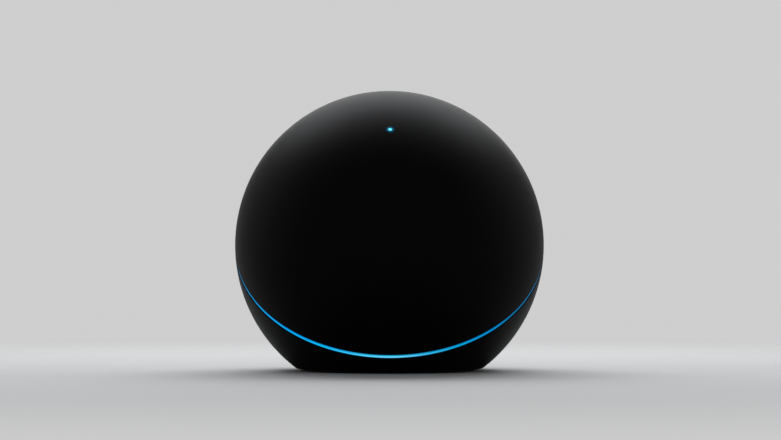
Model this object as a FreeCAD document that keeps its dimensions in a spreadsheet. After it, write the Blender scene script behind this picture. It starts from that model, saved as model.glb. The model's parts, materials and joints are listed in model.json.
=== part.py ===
"""Ball-shaped tabletop amplifier: a turning dome on a tilted bearing over a fixed base shell.

Millimetres, +Z up, -Y to the front, origin on the table under the ball's centre.
The seam between dome and base lies in a plane through the ball's centre that is low at the front.
"""
import FreeCAD, Part
import math
import os
import re
import Sketcher

Vector = FreeCAD.Vector
left, right = 1, -1
upward = Vector(0, 0, 1)

# Driving dimensions: name, value, meaning
sizes = [
    ("ball_radius", 58.0, "outside of dome and base"),
    ("bottom_cut", 10.9, "height of the ball that the table's level cuts away"),
    ("seam_tilt", 45.0, "degrees that the seam leans to the front"),
    # seam and light ring, heights along the tilted axis from the ball's centre
    ("ring_height", 1.2, "light ring, top to bottom"),
    ("ring_width", 6.9, "light ring, inwards from the ball's surface"),
    ("ring_inset", 0.15, "light ring behind the ball's surface"),
    ("seam_gap", 0.25, "running gap between light ring and dome"),
    ("rim_break", 0.3, "broken edges of both rims"),
    # dome
    ("dome_wall", 2.2, "dome shell"),
    ("land_wall", 4.0, "thicker rim of the dome shell"),
    ("land_top", 8.0, "height of that rim"),
    ("carrier_low", 2.0, "underside of the dome carrier"),
    ("carrier_top", 10.0, "top of the dome carrier"),
    ("carrier_fit", 0.1, "carrier inside the dome's rim"),
    ("boss_inset", 6.5, "circle of dome and base screws inside the ball's surface"),
    ("dome_boss", 2.4, "radius of a dome boss"),
    ("boss_cover", 0.8, "shell left over the end of a boss"),
    ("window_radius", 0.8, "mute light window at the pole"),
    ("window_flange", 2.4, "radius of the window's flange"),
    ("window_flange_thick", 0.8, "thickness of the window's flange"),
    # bearing
    ("ball_size", 3.0, "diameter of a bearing ball"),
    ("pitch_inset", 7.5, "circle of the bearing balls inside the circle of screws"),
    ("race_low", 3.0, "underside of the races"),
    ("race_height", 6.0, "both races"),
    ("race_depth", 3.5, "from the pitch circle to either race's seat"),
    ("race_land", 0.8, "from the pitch circle to either race's shoulder"),
    ("groove_fit", 0.05, "play of a ball in its groove"),
    ("cage_wall", 1.0, "bearing cage"),
    ("cage_height", 3.6, "bearing cage"),
    ("pocket_fit", 0.06, "play of a ball in its pocket"),
    ("lip", 1.7, "carrier lip over the outer race"),
    ("retaining_step", 0.8, "seat of the retaining ring outside the race"),
    ("magnet_inset", 0.2, "magnet ring outside the carrier's lip"),
    ("magnet_height", 1.1, "encoder magnet ring"),
    ("magnet_width", 3.0, "encoder magnet ring"),
    # base shell
    ("base_wall", 2.5, "base shell"),
    ("floor_wall", 3.0, "flat floor of the base shell"),
    ("base_lift", 0.8, "metal underside above the table"),
    ("edge_round", 1.6, "round edge of the underside"),
    ("foot_bed", 0.8, "depth of the bed that holds the foot pad"),
    ("foot_inset", 2.1, "foot pad inside the flat underside"),
    ("base_boss", 2.6, "radius of a base boss"),
    ("base_boss_length", 13.0, "base bosses below the chassis"),
    # bearing chassis
    ("hub_wall", 4.5, "hub that carries the inner race"),
    ("shoulder", 1.3, "step under the inner race"),
    ("flange_drop", 1.8, "chassis flange below the ball's centre"),
    ("flange_wall", 2.5, "chassis flange"),
    ("flange_fit", 0.5, "chassis flange inside the base shell"),
    ("clamp_wall", 1.5, "clamp ring of the inner race"),
    ("clamp_overlap", 1.6, "clamp ring over the inner race"),
    ("clamp_inset", 0.6, "clamp ring outside the hub's bore"),
    ("cap_screw_turn", 30.0, "degrees of the first cap screw from the side"),
    # ring of lights
    ("led_board_wall", 1.0, "LED ring board"),
    ("board_play", 0.3, "LED ring board round the hub"),
    ("cable_inset", 2.5, "flat cable outside the ring board's inner edge"),
    ("cable_wall", 0.3, "flat cables"),
    ("cable_width", 6.0, "flat cables"),
    ("cable_room", 0.7, "slot in the chassis round the flat cable"),
    ("cable_hang", 1.1, "flat cable above the main board's edge"),
    ("cable_edge", 2.0, "flat cable from the main board's edge"),
    ("led_board_reach", 1.5, "LED ring board under the light ring"),
    ("led_width", 2.5, "LED along the ring"),
    ("led_depth", 1.7, "LED towards the light ring"),
    ("led_height", 1.2, "LED"),
    ("led_gap", 0.2, "LED face to light ring"),
    ("hall_side", 2.6, "hall sensor"),
    ("hall_height", 0.8, "hall sensor"),
    ("hall_angle", 20.0, "degrees of the hall sensors from the back of the ring"),
    # sensor cap and what it carries
    ("cap_wall", 1.8, "sensor cap"),
    ("cap_overhang", 2.0, "cap's straight part outside the circle of bearing balls"),
    ("cap_gap", 3.3, "cap's round part inside the dome"),
    ("electrode_wall", 0.3, "touch electrode on the cap"),
    ("electrode_cover", 22.5, "height of the cap's top that the electrode covers"),
    ("pole_hole", 1.8, "hole in cap and electrode for the mute light"),
    ("touch_board_radius", 11.0, "touch board"),
    ("touch_board_wall", 1.0, "touch board"),
    ("touch_board_drop", 1.8, "touch board below the inside of the cap"),
    ("cap_boss", 2.0, "bosses for the touch board"),
    ("cap_boss_circle", 8.0, "circle of those bosses"),
    ("mute_led_side", 1.6, "mute LED"),
    ("mute_led_height", 1.2, "mute LED"),
    ("antenna_wall", 0.6, "Wi-Fi antenna strip"),
    ("antenna_height", 8.0, "Wi-Fi antenna strip"),
    ("antenna_lift", 1.5, "antenna above the cap's flange"),
    ("antenna_spread", 30.0, "degrees of the antenna to either side of the back"),
    # main board
    ("main_gap", 3.0, "main board inside the hub"),
    ("board_wall", 1.6, "every large board"),
    ("main_top", 7.4, "main board's top below the ball's centre"),
    ("main_screw_inset", 3.0, "main board screws from the board's edge"),
    ("standoff_radius", 2.5, "main board standoffs"),
    ("arm_width", 6.0, "arms from the hub to the standoffs"),
    ("arm_overlap", 2.0, "arms into the hub"),
    ("arm_turn", 45.0, "degrees of the first arm and main board screw from the side"),
    ("chip_row", 10.0, "processor and memory behind the dome's axis"),
    ("chip_gap", 1.5, "between the chips"),
    ("processor_place", 9.0, "processor from the middle"),
    ("processor_side", 14.0, "processor"),
    ("processor_height", 1.4, "processor"),
    ("memory_width", 8.0, "memory chip"),
    ("memory_tall", 11.0, "memory chip"),
    ("memory_height", 1.0, "memory chip"),
    ("can_row", 8.0, "radio shield can behind the dome's axis"),
    ("can_width", 14.0, "radio shield can"),
    ("can_tall", 18.0, "radio shield can"),
    ("can_height", 2.6, "radio shield can"),
    ("can_sheet", 0.3, "radio shield can"),
    ("amplifier_row", 12.0, "amplifier chips before the dome's axis"),
    ("amplifier_place", 9.0, "amplifier chips from the middle"),
    ("amplifier_side", 9.0, "amplifier chip"),
    ("amplifier_height", 1.2, "amplifier chip"),
    ("sink_width", 30.0, "amplifier heat sink"),
    ("sink_deep", 12.0, "amplifier heat sink"),
    ("sink_base", 2.0, "amplifier heat sink under its fins"),
    ("fin_height", 8.0, "heat sink fin"),
    ("fin_wall", 1.2, "heat sink fin"),
    ("coil_place", 20.5, "output inductors from the middle"),
    ("coil_side", 7.5, "output inductor"),
    ("coil_height", 5.0, "output inductor"),
    ("coil_back", 5.0, "nearer output inductors before the axis"),
    ("coil_front", 14.0, "further output inductors before the axis"),
    # power board
    ("power_board_lift", 6.2, "power board above the base floor"),
    ("power_half_width", 30.0, "power board"),
    ("power_front", 16.0, "front edge of the power board before the centre"),
    ("power_clearance", 0.92, "corners of the power board to the base shell"),
    ("power_round", 2.0, "round corners of the power board"),
    ("power_screw_side", 25.5, "power board screws from the middle"),
    ("power_screw_inset", 3.5, "power board screws from its front and back edges"),
    ("floor_boss", 3.0, "bosses for the power board"),
    ("core_place", 2.0, "transformer, left of the middle"),
    ("core_inset", 18.0, "transformer from the board's back edge"),
    ("core_width", 24.0, "transformer core"),
    ("core_deep", 11.0, "transformer core"),
    ("core_tall", 18.0, "transformer core"),
    ("core_leg", 7.0, "middle leg of the core"),
    ("core_window", 5.0, "width of a window in the core"),
    ("core_window_tall", 12.0, "height of a window in the core"),
    ("winding_overhang", 4.5, "winding before and behind the core"),
    ("winding_play", 0.1, "winding in the core's windows"),
    ("winding_corner", 3.0, "outer corner of the winding"),
    ("mains_capacitor_radius", 6.0, "mains capacitor"),
    ("mains_capacitor_height", 14.0, "mains capacitor"),
    ("mains_capacitor_place", 20.0, "mains capacitors from the middle"),
    ("mains_capacitor_step", 13.0, "between the mains capacitors"),
    ("mains_capacitor_inset", 9.5, "mains capacitors from the board's back edge"),
    ("output_capacitor_radius", 4.0, "output capacitor"),
    ("output_capacitor_height", 7.0, "output capacitor"),
    ("output_capacitor_place", 22.0, "output capacitors, left of the middle"),
    ("output_capacitor_step", 10.5, "between output capacitors"),
    ("output_capacitor_front", 7.0, "first output capacitor before the centre"),
    ("choke_radius", 4.2, "mains choke, circle of its core"),
    ("choke_wire", 1.9, "mains choke, radius of its wound core"),
    ("choke_front", 7.5, "mains choke before the centre"),
    ("fuse_radius", 1.6, "mains fuse"),
    ("fuse_length", 16.0, "mains fuse"),
    ("fuse_place", 6.5, "near end of the fuse from the middle"),
    ("fuse_front", 12.0, "mains fuse before the centre"),
    ("lead_radius", 0.9, "leads between the boards"),
    ("lead_pitch", 4.0, "between those leads"),
    ("lead_bend", 4.0, "bend of a lead"),
    ("lead_start", 4.0, "straight end of a lead at the socket board"),
    ("lead_rise", 4.0, "leads above the socket board's lower edge"),
    # rear panel
    ("panel_recess", 12.7, "panel floor inside the ball's surface"),
    ("panel_drop", 1.1, "middle of the panel below the ball's centre"),
    ("panel_width", 66.0, "rear panel, outside"),
    ("panel_tall", 34.0, "rear panel, outside"),
    ("panel_corner", 10.0, "rear panel, outside corner"),
    ("panel_wall", 1.6, "rim of the rear panel"),
    ("panel_floor", 2.0, "floor of the rear panel"),
    ("panel_fit", 0.15, "panel in the shell, sockets in the panel"),
    ("panel_sink", 0.2, "panel rim behind the ball's surface"),
    ("socket_depth", 12.3, "panel face to socket board"),
    ("io_half_width", 28.0, "socket board"),
    ("io_rise", 18.0, "socket board above the panel's middle"),
    ("io_drop", 22.0, "socket board below the panel's middle"),
    ("io_round", 3.0, "round corners of the socket board"),
    ("post_radius", 2.2, "posts between panel and socket board"),
    ("post_side", 24.0, "posts from the panel's middle"),
    ("post_inset", 4.0, "upper posts below the socket board's top"),
    ("post_low", 4.9, "lower post above the panel's bottom"),
    ("lug_reach", 26.0, "inner end of the panel lugs from the middle"),
    ("lug_depth", 7.0, "panel lugs"),
    ("lug_half_height", 2.6, "panel lugs"),
    ("panel_screw_side", 28.6, "panel screws from the middle"),
    ("panel_screw_row", 7.6, "panel screws above the panel's middle"),
    # rear sockets, places on the panel
    ("upper_row", 7.2, "speaker sockets above the panel's middle"),
    ("lower_row", 7.6, "other sockets below the panel's middle"),
    ("speaker_pitch", 13.8, "speaker socket spacing"),
    ("speaker_collar", 5.0, "collar radius of a speaker socket"),
    ("speaker_body", 4.0, "body radius of a speaker socket"),
    ("speaker_proud", 4.0, "speaker socket before the panel"),
    ("speaker_recess", 0.8, "contact behind the collar's front"),
    ("contact_radius", 3.0, "speaker socket contact"),
    ("plug_radius", 2.0, "4 mm plug bore"),
    ("contact_back", 1.5, "closed end of a speaker contact"),
    ("inlet_place", 19.0, "mains inlet from the panel's middle"),
    ("inlet_width", 21.0, "mains inlet"),
    ("inlet_tall", 11.5, "mains inlet"),
    ("inlet_corner", 5.5, "mains inlet"),
    ("inlet_back", 2.8, "mains inlet behind its cavity"),
    ("inlet_lobe", 4.2, "lobe radius of the figure-eight cavity"),
    ("inlet_waist", 6.2, "height of the cavity between its lobes"),
    ("pin_pitch", 8.6, "mains pins"),
    ("pin_radius", 1.2, "mains pins"),
    ("pin_recess", 1.6, "mains pins behind the panel's face"),
    ("ethernet_place", 1.5, "Ethernet socket from the panel's middle"),
    ("ethernet_width", 16.0, "Ethernet shield"),
    ("ethernet_tall", 13.4, "Ethernet shield"),
    ("ethernet_sheet", 0.5, "Ethernet shield"),
    ("ethernet_proud", 0.3, "Ethernet shield before the panel"),
    ("ethernet_plug_width", 11.8, "Ethernet plug cavity"),
    ("ethernet_plug_tall", 7.0, "Ethernet plug cavity"),
    ("ethernet_back", 1.3, "Ethernet socket behind the plug cavity"),
    ("ethernet_roof", 1.2, "Ethernet shield's top above the plug cavity"),
    ("contact_drop", 0.9, "Ethernet contacts below the cavity's roof"),
    ("clip_width", 6.2, "wide part of the clip slot"),
    ("clip_tall", 1.6, "both steps of the clip slot"),
    ("clip_tongue", 3.4, "narrow part of the clip slot"),
    ("contact_wire", 0.4, "Ethernet contact"),
    ("contact_pitch", 1.02, "Ethernet contacts"),
    ("contact_length", 7.0, "Ethernet contact"),
    ("optical_place", 15.8, "optical socket from the panel's middle"),
    ("optical_size", 10.0, "optical socket, outside"),
    ("optical_bore", 7.6, "optical socket, square cavity"),
    ("optical_back", 2.8, "optical socket behind its cavity"),
    ("shutter_inset", 0.9, "shutter behind the panel's face"),
    ("shutter_wall", 0.5, "shutter plate"),
    ("shutter_pin", 0.45, "shutter hinge pin"),
    ("shutter_pin_reach", 0.7, "shutter hinge pin into either side wall"),
    ("shutter_pin_drop", 0.75, "shutter hinge below the cavity's top"),
    ("shutter_play", 0.25, "shutter in the cavity"),
    ("pin_fit", 0.05, "shutter pin in its holes"),
    ("hdmi_place", 25.6, "HDMI socket from the panel's middle"),
    ("hdmi_row", 6.5, "HDMI socket below the panel's middle"),
    ("hdmi_width", 6.6, "HDMI shell"),
    ("hdmi_tall", 3.0, "HDMI shell"),
    ("hdmi_corner", 0.7, "HDMI shell"),
    ("hdmi_sheet", 0.3, "HDMI shell"),
    ("hdmi_tongue_width", 4.4, "HDMI tongue"),
    ("hdmi_tongue_wall", 0.7, "HDMI tongue"),
    ("hdmi_tongue_sink", 1.5, "HDMI tongue behind the panel's face"),
    ("hdmi_block", 4.0, "block that carries the tongue at the board"),
    # screws
    ("screw_shank", 1.0, "screw shank radius"),
    ("screw_head", 1.9, "screw head radius"),
    ("head_height", 1.2, "screw head"),
    ("screw_play", 0.2, "clearance round a shank or a head"),
    ("thread_reach", 5.0, "length of thread in a boss"),
    ("hex_radius", 0.9, "hexagon socket in a screw head"),
    ("hex_depth", 0.7, "hexagon socket in a screw head"),
]

ball_count = 30
led_count = 32
boss_count = 6
clamp_screw_count = 6
cap_screw_count = 3
cap_boss_count = 3
arm_count = 4
contact_count = 8
fin_count = 8
lead_count = 3

doc = FreeCAD.newDocument("tabletop_amplifier")
sheet = doc.addObject("Spreadsheet::Sheet", "dims")
for row, (name, value, note) in enumerate(sizes, 1):
    sheet.set(f"A{row}", name)
    sheet.set(f"B{row}", str(value))
    sheet.set(f"C{row}", note)
    sheet.setAlias(f"B{row}", name)
doc.recompute()
alias_pattern = re.compile(r"\b(" + "|".join(name for name, _, _ in sizes) + r")\b")

# Measures that follow from the driving dimensions
centre_height = "(ball_radius - bottom_cut)"
dome_inner = "(ball_radius - dome_wall)"
base_inner = "(ball_radius - base_wall)"
land = "(ball_radius - land_wall)"
base_rim = "(-ring_height / 2)"
dome_rim = "(ring_height / 2 + seam_gap)"
ring_inner = "(ball_radius - ring_width)"
boss_circle = "(ball_radius - boss_inset)"
pitch_radius = f"({boss_circle} - pitch_inset)"
race_top = "(race_low + race_height)"
race_middle = "(race_low + race_height / 2)"
inner_seat = f"({pitch_radius} - race_depth)"
outer_seat = f"({pitch_radius} + race_depth)"
retaining_seat = f"({outer_seat} + retaining_step)"
inner_shoulder = f"({pitch_radius} - race_land)"
outer_shoulder = f"({pitch_radius} + race_land)"
groove = "(ball_size / 2 + groove_fit)"
hub_inner = f"({inner_seat} - hub_wall)"
hub_screw_circle = f"({inner_seat} - hub_wall / 2)"
flange_low = "(-flange_drop - flange_wall)"
flange_radius = f"({base_inner} - flange_fit)"
clamp_top = f"({race_top} + clamp_wall)"
clamp_inner = f"({hub_inner} + clamp_inset)"
clamp_outer = f"({inner_seat} + clamp_overlap)"
led_board_top = "(led_board_wall - flange_drop)"
led_board_inner = f"({inner_seat} + shoulder + board_play)"
led_board_outer = f"({ring_inner} + led_board_reach)"
led_cable_radius = f"({led_board_inner} + cable_inset)"
cap_flange_top = f"({clamp_top} + cap_wall)"
cap_cylinder = f"({pitch_radius} + cap_overhang)"
cap_ball = f"({dome_inner} - cap_gap)"
cap_inner = f"({cap_ball} - cap_wall)"
electrode_low = f"({cap_ball} - electrode_cover)"
touch_board_top = f"({cap_inner} - touch_board_drop)"
main_radius = f"({hub_inner} - main_gap)"
main_screw_circle = f"({main_radius} - main_screw_inset)"
main_low = "(-main_top - board_wall)"
underside = f"(base_lift - {centre_height})"
floor_top = f"({underside} + floor_wall)"
edge_centre = "(ball_radius - edge_round)"
edge_height = f"({underside} + edge_round)"
flat_radius = f"sqrt({edge_centre} ^ 2 - {edge_height} ^ 2)"
foot_radius = f"({flat_radius} - foot_inset)"
power_board_low = "(base_lift + floor_wall + power_board_lift)"
power_from_centre = f"({floor_top} + power_board_lift)"
power_corner = f"(sqrt({base_inner} ^ 2 - {power_from_centre} ^ 2) - power_clearance)"
power_back = f"sqrt({power_corner} ^ 2 - power_half_width ^ 2)"
core_back = f"({power_back} - core_inset)"
mains_capacitor_far = f"({power_back} - mains_capacitor_inset)"
mains_capacitor_near = f"({mains_capacitor_far} - mains_capacitor_step)"
panel_face = "(ball_radius - panel_recess)"
panel_from_centre = "(-panel_drop)"
panel_height = f"({centre_height} - panel_drop)"
lead_height = f"({panel_height} - io_drop + lead_rise)"
plug_depth = "(socket_depth + speaker_proud - speaker_recess - contact_back)"
inlet_depth = "(socket_depth - inlet_back)"
ethernet_plug_depth = "(socket_depth - ethernet_back)"
optical_depth = "(socket_depth - optical_back)"

def words(text):
    """An expression in the sheet's names, as the document writes it."""
    return alias_pattern.sub(r"dims.\1", text)


def amount(text):
    return float(sheet.evalExpression(words(text)))


def bind(piece, field, text):
    piece.setExpression(field, words(text))


def ring_places(radius, count, first="0"):
    """Places evenly spaced on a circle from the angle first, as pairs of expressions."""
    angles = [f"({first} + {360.0 * number / count})" for number in range(count)]
    return [(f"{radius} * cos{angle}", f"{radius} * sin{angle}") for angle in angles]


# Frames

def lay_tilted(piece):
    """Origin at the ball's centre, Z along the dome's axis."""
    piece.Placement = FreeCAD.Placement(Vector(), FreeCAD.Rotation(Vector(1, 0, 0), amount("seam_tilt")))
    bind(piece, "Placement.Rotation.Angle", "seam_tilt")
    bind(piece, "Placement.Base.z", centre_height)


def lay_upright(piece):
    """Origin at the ball's centre, Z up."""
    bind(piece, "Placement.Base.z", centre_height)


def lay_on_table(piece):
    """The part's own frame."""
    piece.Placement = FreeCAD.Placement()


def lay_rear(piece):
    """Origin in the middle of the panel's face, Z out of the back, Y up."""
    turned = FreeCAD.Rotation(Vector(-1, 0, 0), Vector(0, 0, 1), Vector(0, 1, 0), "ZXY")
    piece.Placement = FreeCAD.Placement(Vector(), turned)
    bind(piece, "Placement.Base.y", panel_face)
    bind(piece, "Placement.Base.z", panel_height)


# Sketches

def new_body(label, lay):
    body = doc.addObject("PartDesign::Body", label)
    body.Label = label
    body.AllowCompound = True
    lay(body)
    return body


def origin_part(body, role):
    return next(feature for feature in body.Origin.OriginFeatures if feature.Role == role)


def new_sketch(body, plane, lift="0"):
    """A sketch on one of the body's own planes, lifted along that plane's normal."""
    sketch = body.newObject("Sketcher::SketchObject", body.Name + "_sketch")
    sketch.AttachmentSupport = [(origin_part(body, plane), "")]
    sketch.MapMode = "FlatFace"
    bind(sketch, "AttachmentOffset.Base.z", lift)
    return sketch


def tilted_sketch(body, lift):
    """A sketch square to the dome's axis, in a body that stands upright."""
    sketch = new_sketch(body, "XY_Plane")
    sketch.AttachmentOffset = FreeCAD.Placement(
        Vector(), FreeCAD.Rotation(Vector(1, 0, 0), amount("seam_tilt")))
    bind(sketch, "AttachmentOffset.Rotation.Angle", "seam_tilt")
    bind(sketch, "AttachmentOffset.Base.y", f"-sin(seam_tilt) * {lift}")
    bind(sketch, "AttachmentOffset.Base.z", f"cos(seam_tilt) * {lift}")
    return sketch


def fix_coordinate(sketch, kind, axis, geometry, point, text):
    if text == "0":
        sketch.addConstraint(Sketcher.Constraint("PointOnObject", geometry, point, axis))
        return
    number = sketch.addConstraint(
        Sketcher.Constraint(kind, -1, 1, geometry, point, amount(text)))
    sketch.setExpression(f"Constraints[{number}]", words(text))


def fix_point(sketch, geometry, point, across, along):
    fix_coordinate(sketch, "DistanceX", -2, geometry, point, across)
    fix_coordinate(sketch, "DistanceY", -1, geometry, point, along)


def fix_radius(sketch, geometry, text):
    number = sketch.addConstraint(Sketcher.Constraint("Radius", geometry, amount(text)))
    sketch.setExpression(f"Constraints[{number}]", words(text))


def draw_arc(sketch, start, stop, radius, side):
    """An arc of less than half a turn; its centre is on the left or right of start to stop."""
    reach = amount(radius)
    chord = stop - start
    across = Vector(-chord.y, chord.x, 0).normalize()
    rise = math.sqrt(max(reach ** 2 - chord.Length ** 2 / 4, 0.0))
    centre = (start + stop) * 0.5 + across * (rise * side)
    first, last = (start, stop) if side == left else (stop, start)
    angles = [math.atan2(point.y - centre.y, point.x - centre.x) for point in (first, last)]
    edge = sketch.addGeometry(Part.ArcOfCircle(Part.Circle(centre, upward, reach), *angles))
    fix_radius(sketch, edge, radius)
    return (edge, 1, 2) if side == left else (edge, 2, 1)


def draw_edge(sketch, start, stop, corner):
    """The line or arc after a corner: its number in the sketch, its first and its last point."""
    if len(corner) == 2:
        return sketch.addGeometry(Part.LineSegment(start, stop)), 1, 2
    return draw_arc(sketch, start, stop, corner[2], corner[3])


def draw_outline(sketch, corners):
    """A closed outline. A corner is (x, y), or (x, y, radius, side) where an arc follows it."""
    points = [Vector(amount(corner[0]), amount(corner[1]), 0) for corner in corners]
    steps = zip(points, points[1:] + points[:1], corners)
    edges = [draw_edge(sketch, start, stop, corner) for start, stop, corner in steps]
    for place, (edge, first, _) in enumerate(edges):
        before, _, before_last = edges[place - 1]
        sketch.addConstraint(Sketcher.Constraint("Coincident", before, before_last, edge, first))
        fix_point(sketch, edge, first, corners[place][0], corners[place][1])


def draw_path(sketch, corners):
    """An open run of lines and arcs, with corners as in an outline."""
    points = [Vector(amount(corner[0]), amount(corner[1]), 0) for corner in corners]
    before = None
    for start, stop, corner in zip(points, points[1:], corners):
        edge = draw_edge(sketch, start, stop, corner)
        if before:
            sketch.addConstraint(Sketcher.Constraint("Coincident", before[0], before[2], *edge[:2]))
        fix_point(sketch, edge[0], edge[1], corner[0], corner[1])
        before = edge
    fix_point(sketch, before[0], before[2], corners[-1][0], corners[-1][1])


def draw_circles(sketch, places, radius):
    circles = []
    for across, along in places:
        spot = Vector(amount(across), amount(along), 0)
        circle = sketch.addGeometry(Part.Circle(spot, upward, amount(radius)))
        fix_point(sketch, circle, 3, across, along)
        circles.append(circle)
    fix_radius(sketch, circles[0], radius)
    for circle in circles[1:]:
        sketch.addConstraint(Sketcher.Constraint("Equal", circles[0], circle))


def draw_box(sketch, across, along, width, tall):
    """A rectangle about a middle point."""
    low, high = f"{across} - {width} / 2", f"{across} + {width} / 2"
    under, over = f"{along} - {tall} / 2", f"{along} + {tall} / 2"
    draw_outline(sketch, [(low, under), (high, under), (high, over), (low, over)])


def draw_round_box(sketch, across, along, width, tall, corner):
    """A rectangle with round corners about a middle point."""
    low, high = f"{across} - {width} / 2", f"{across} + {width} / 2"
    under, over = f"{along} - {tall} / 2", f"{along} + {tall} / 2"
    draw_outline(sketch, [
        (f"{low} + {corner}", under),
        (f"{high} - {corner}", under, corner, left),
        (high, f"{under} + {corner}"),
        (high, f"{over} - {corner}", corner, left),
        (f"{high} - {corner}", over),
        (f"{low} + {corner}", over, corner, left),
        (low, f"{over} - {corner}"),
        (low, f"{under} + {corner}", corner, left)])


# Features

def revolve(body, corners):
    """Turn an outline of (radius, height) corners about the body's Z axis."""
    sketch = new_sketch(body, "XZ_Plane")
    draw_outline(sketch, corners)
    feature = body.newObject("PartDesign::Revolution", body.Name + "_turned")
    feature.Profile = sketch
    feature.ReferenceAxis = (sketch, ["V_Axis"])
    feature.Angle = 360
    return feature


def square_ring(body, inner, outer, low, high):
    return revolve(body, [(inner, low), (outer, low), (outer, high), (inner, high)])


def pad(body, sketch, length, downward=False):
    feature = body.newObject("PartDesign::Pad", body.Name + "_pad")
    feature.Profile = sketch
    feature.Reversed = downward
    bind(feature, "Length", length)
    return feature


def pocket(body, sketch, length, outward=False):
    """Cut down from the sketch, or out along its normal."""
    feature = body.newObject("PartDesign::Pocket", body.Name + "_pocket")
    feature.Profile = sketch
    feature.Reversed = outward
    bind(feature, "Length", length)
    return feature


def around(body, feature, count):
    """Repeat a feature about the body's Z axis."""
    pattern = body.newObject("PartDesign::PolarPattern", body.Name + "_around")
    pattern.Originals = [feature]
    pattern.Axis = (origin_part(body, "Z_Axis"), [""])
    pattern.Angle = 360
    pattern.Occurrences = count
    body.Tip = pattern
    return pattern


def pad_circles(body, plane, lift, places, radius, length, downward=False):
    sketch = new_sketch(body, plane, lift)
    draw_circles(sketch, places, radius)
    return pad(body, sketch, length, downward)


def cut_circles(body, plane, lift, places, radius, length, outward=False):
    sketch = new_sketch(body, plane, lift)
    draw_circles(sketch, places, radius)
    return pocket(body, sketch, length, outward)


def block(label, lay, across, along, low, width, tall, height):
    """A plain block on a board: its middle, underside and three sizes."""
    body = new_body(label, lay)
    add_block(body, across, along, low, width, tall, height)
    return body


def add_block(body, across, along, low, width, tall, height):
    sketch = new_sketch(body, "XY_Plane", low)
    draw_box(sketch, across, along, width, tall)
    return pad(body, sketch, height)


def screws(label, lay, places, seat, length, upside_down=False):
    """Cap screws: the head stands on its seat and the shank goes down, or the other way up."""
    body = new_body(label, lay)
    pad_circles(body, "XY_Plane", seat, places, "screw_head", "head_height", upside_down)
    pad_circles(body, "XY_Plane", seat, places, "screw_shank", length, not upside_down)
    face = f"({seat} - head_height)" if upside_down else f"({seat} + head_height)"
    sketch = new_sketch(body, "XY_Plane", face)
    for across, along in places:
        draw_hexagon(sketch, across, along)
    pocket(body, sketch, "hex_depth", upside_down)
    return body


def draw_hexagon(sketch, across, along):
    corners = [(f"{across} + hex_radius * cos({60 * number})",
                f"{along} + hex_radius * sin({60 * number})") for number in range(6)]
    draw_outline(sketch, corners)


# Dome: everything that turns with the hand

dome_screw_places = ring_places(boss_circle, boss_count)
dome_screw_seat = "(carrier_low + head_height)"


def make_dome_shell():
    body = new_body("dome_shell", lay_tilted)
    edge_out = f"sqrt(ball_radius ^ 2 - ({dome_rim} + rim_break) ^ 2)"
    inner_at_land = f"sqrt({dome_inner} ^ 2 - land_top ^ 2)"
    flat_top = f"sqrt({dome_inner} ^ 2 - window_flange ^ 2)"
    revolve(body, [
        (land, dome_rim),
        (f"{edge_out} - rim_break", dome_rim),
        (edge_out, f"{dome_rim} + rim_break", "ball_radius", left),
        ("window_radius", "sqrt(ball_radius ^ 2 - window_radius ^ 2)"),
        ("window_radius", flat_top),
        ("window_flange", flat_top, dome_inner, right),
        (inner_at_land, "land_top"),
        (land, "land_top")])
    boss_top = f"sqrt(ball_radius ^ 2 - ({boss_circle} + dome_boss) ^ 2) - boss_cover"
    pad_circles(body, "XY_Plane", "carrier_top", dome_screw_places, "dome_boss",
                f"{boss_top} - carrier_top")
    cut_circles(body, "XY_Plane", "carrier_top", dome_screw_places, "screw_shank",
                "thread_reach", outward=True)
    return body


def make_mute_light_window():
    """A clear plug in the dome's pole, with a flange against the inside of the dome."""
    body = new_body("mute_light_window", lay_tilted)
    flat_top = f"sqrt({dome_inner} ^ 2 - window_flange ^ 2)"
    revolve(body, [
        ("0", f"{flat_top} - window_flange_thick"),
        ("window_flange", f"{flat_top} - window_flange_thick"),
        ("window_flange", flat_top),
        ("window_radius", flat_top),
        ("window_radius", "sqrt(ball_radius ^ 2 - window_radius ^ 2)", "ball_radius", left),
        ("0", "ball_radius")])
    return body


def make_dome_carrier():
    """Ring that holds the outer race and is screwed to the dome's bosses."""
    body = new_body("dome_carrier", lay_tilted)
    revolve(body, [
        (retaining_seat, "carrier_low"),
        (f"{land} - carrier_fit", "carrier_low"),
        (f"{land} - carrier_fit", "carrier_top"),
        (f"{outer_seat} - lip", "carrier_top"),
        (f"{outer_seat} - lip", race_top),
        (outer_seat, race_top),
        (outer_seat, "race_low"),
        (retaining_seat, "race_low")])
    cut_circles(body, "XY_Plane", "carrier_low", dome_screw_places, "screw_head + screw_play",
                "head_height", outward=True)
    cut_circles(body, "XY_Plane", "carrier_low", dome_screw_places, "screw_shank + screw_play",
                "carrier_top - carrier_low + 1", outward=True)
    return body


def make_carrier_screws():
    return screws("carrier_screws", lay_tilted, dome_screw_places, dome_screw_seat,
                  f"carrier_top - {dome_screw_seat} + thread_reach", upside_down=True)


def make_race_retaining_ring():
    """Ring in the carrier's lower counterbore that keeps the outer race up."""
    body = new_body("race_retaining_ring", lay_tilted)
    square_ring(body, f"{outer_seat} - lip", retaining_seat, "carrier_low", "race_low")
    return body


def make_encoder_magnet_ring():
    body = new_body("encoder_magnet_ring", lay_tilted)
    inner = f"({outer_seat} - lip + magnet_inset)"
    square_ring(body, inner, f"{inner} + magnet_width", "carrier_low - magnet_height", "carrier_low")
    return body


# Bearing

def race_outline(seat, shoulder, side):
    """Half of a ball race: a square ring with a groove on the side of the balls."""
    half = f"sqrt({groove} ^ 2 - race_land ^ 2)"
    return [
        (seat, "race_low"),
        (shoulder, "race_low"),
        (shoulder, f"{race_middle} - {half}", groove, side),
        (shoulder, f"{race_middle} + {half}"),
        (shoulder, race_top),
        (seat, race_top)]


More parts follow.
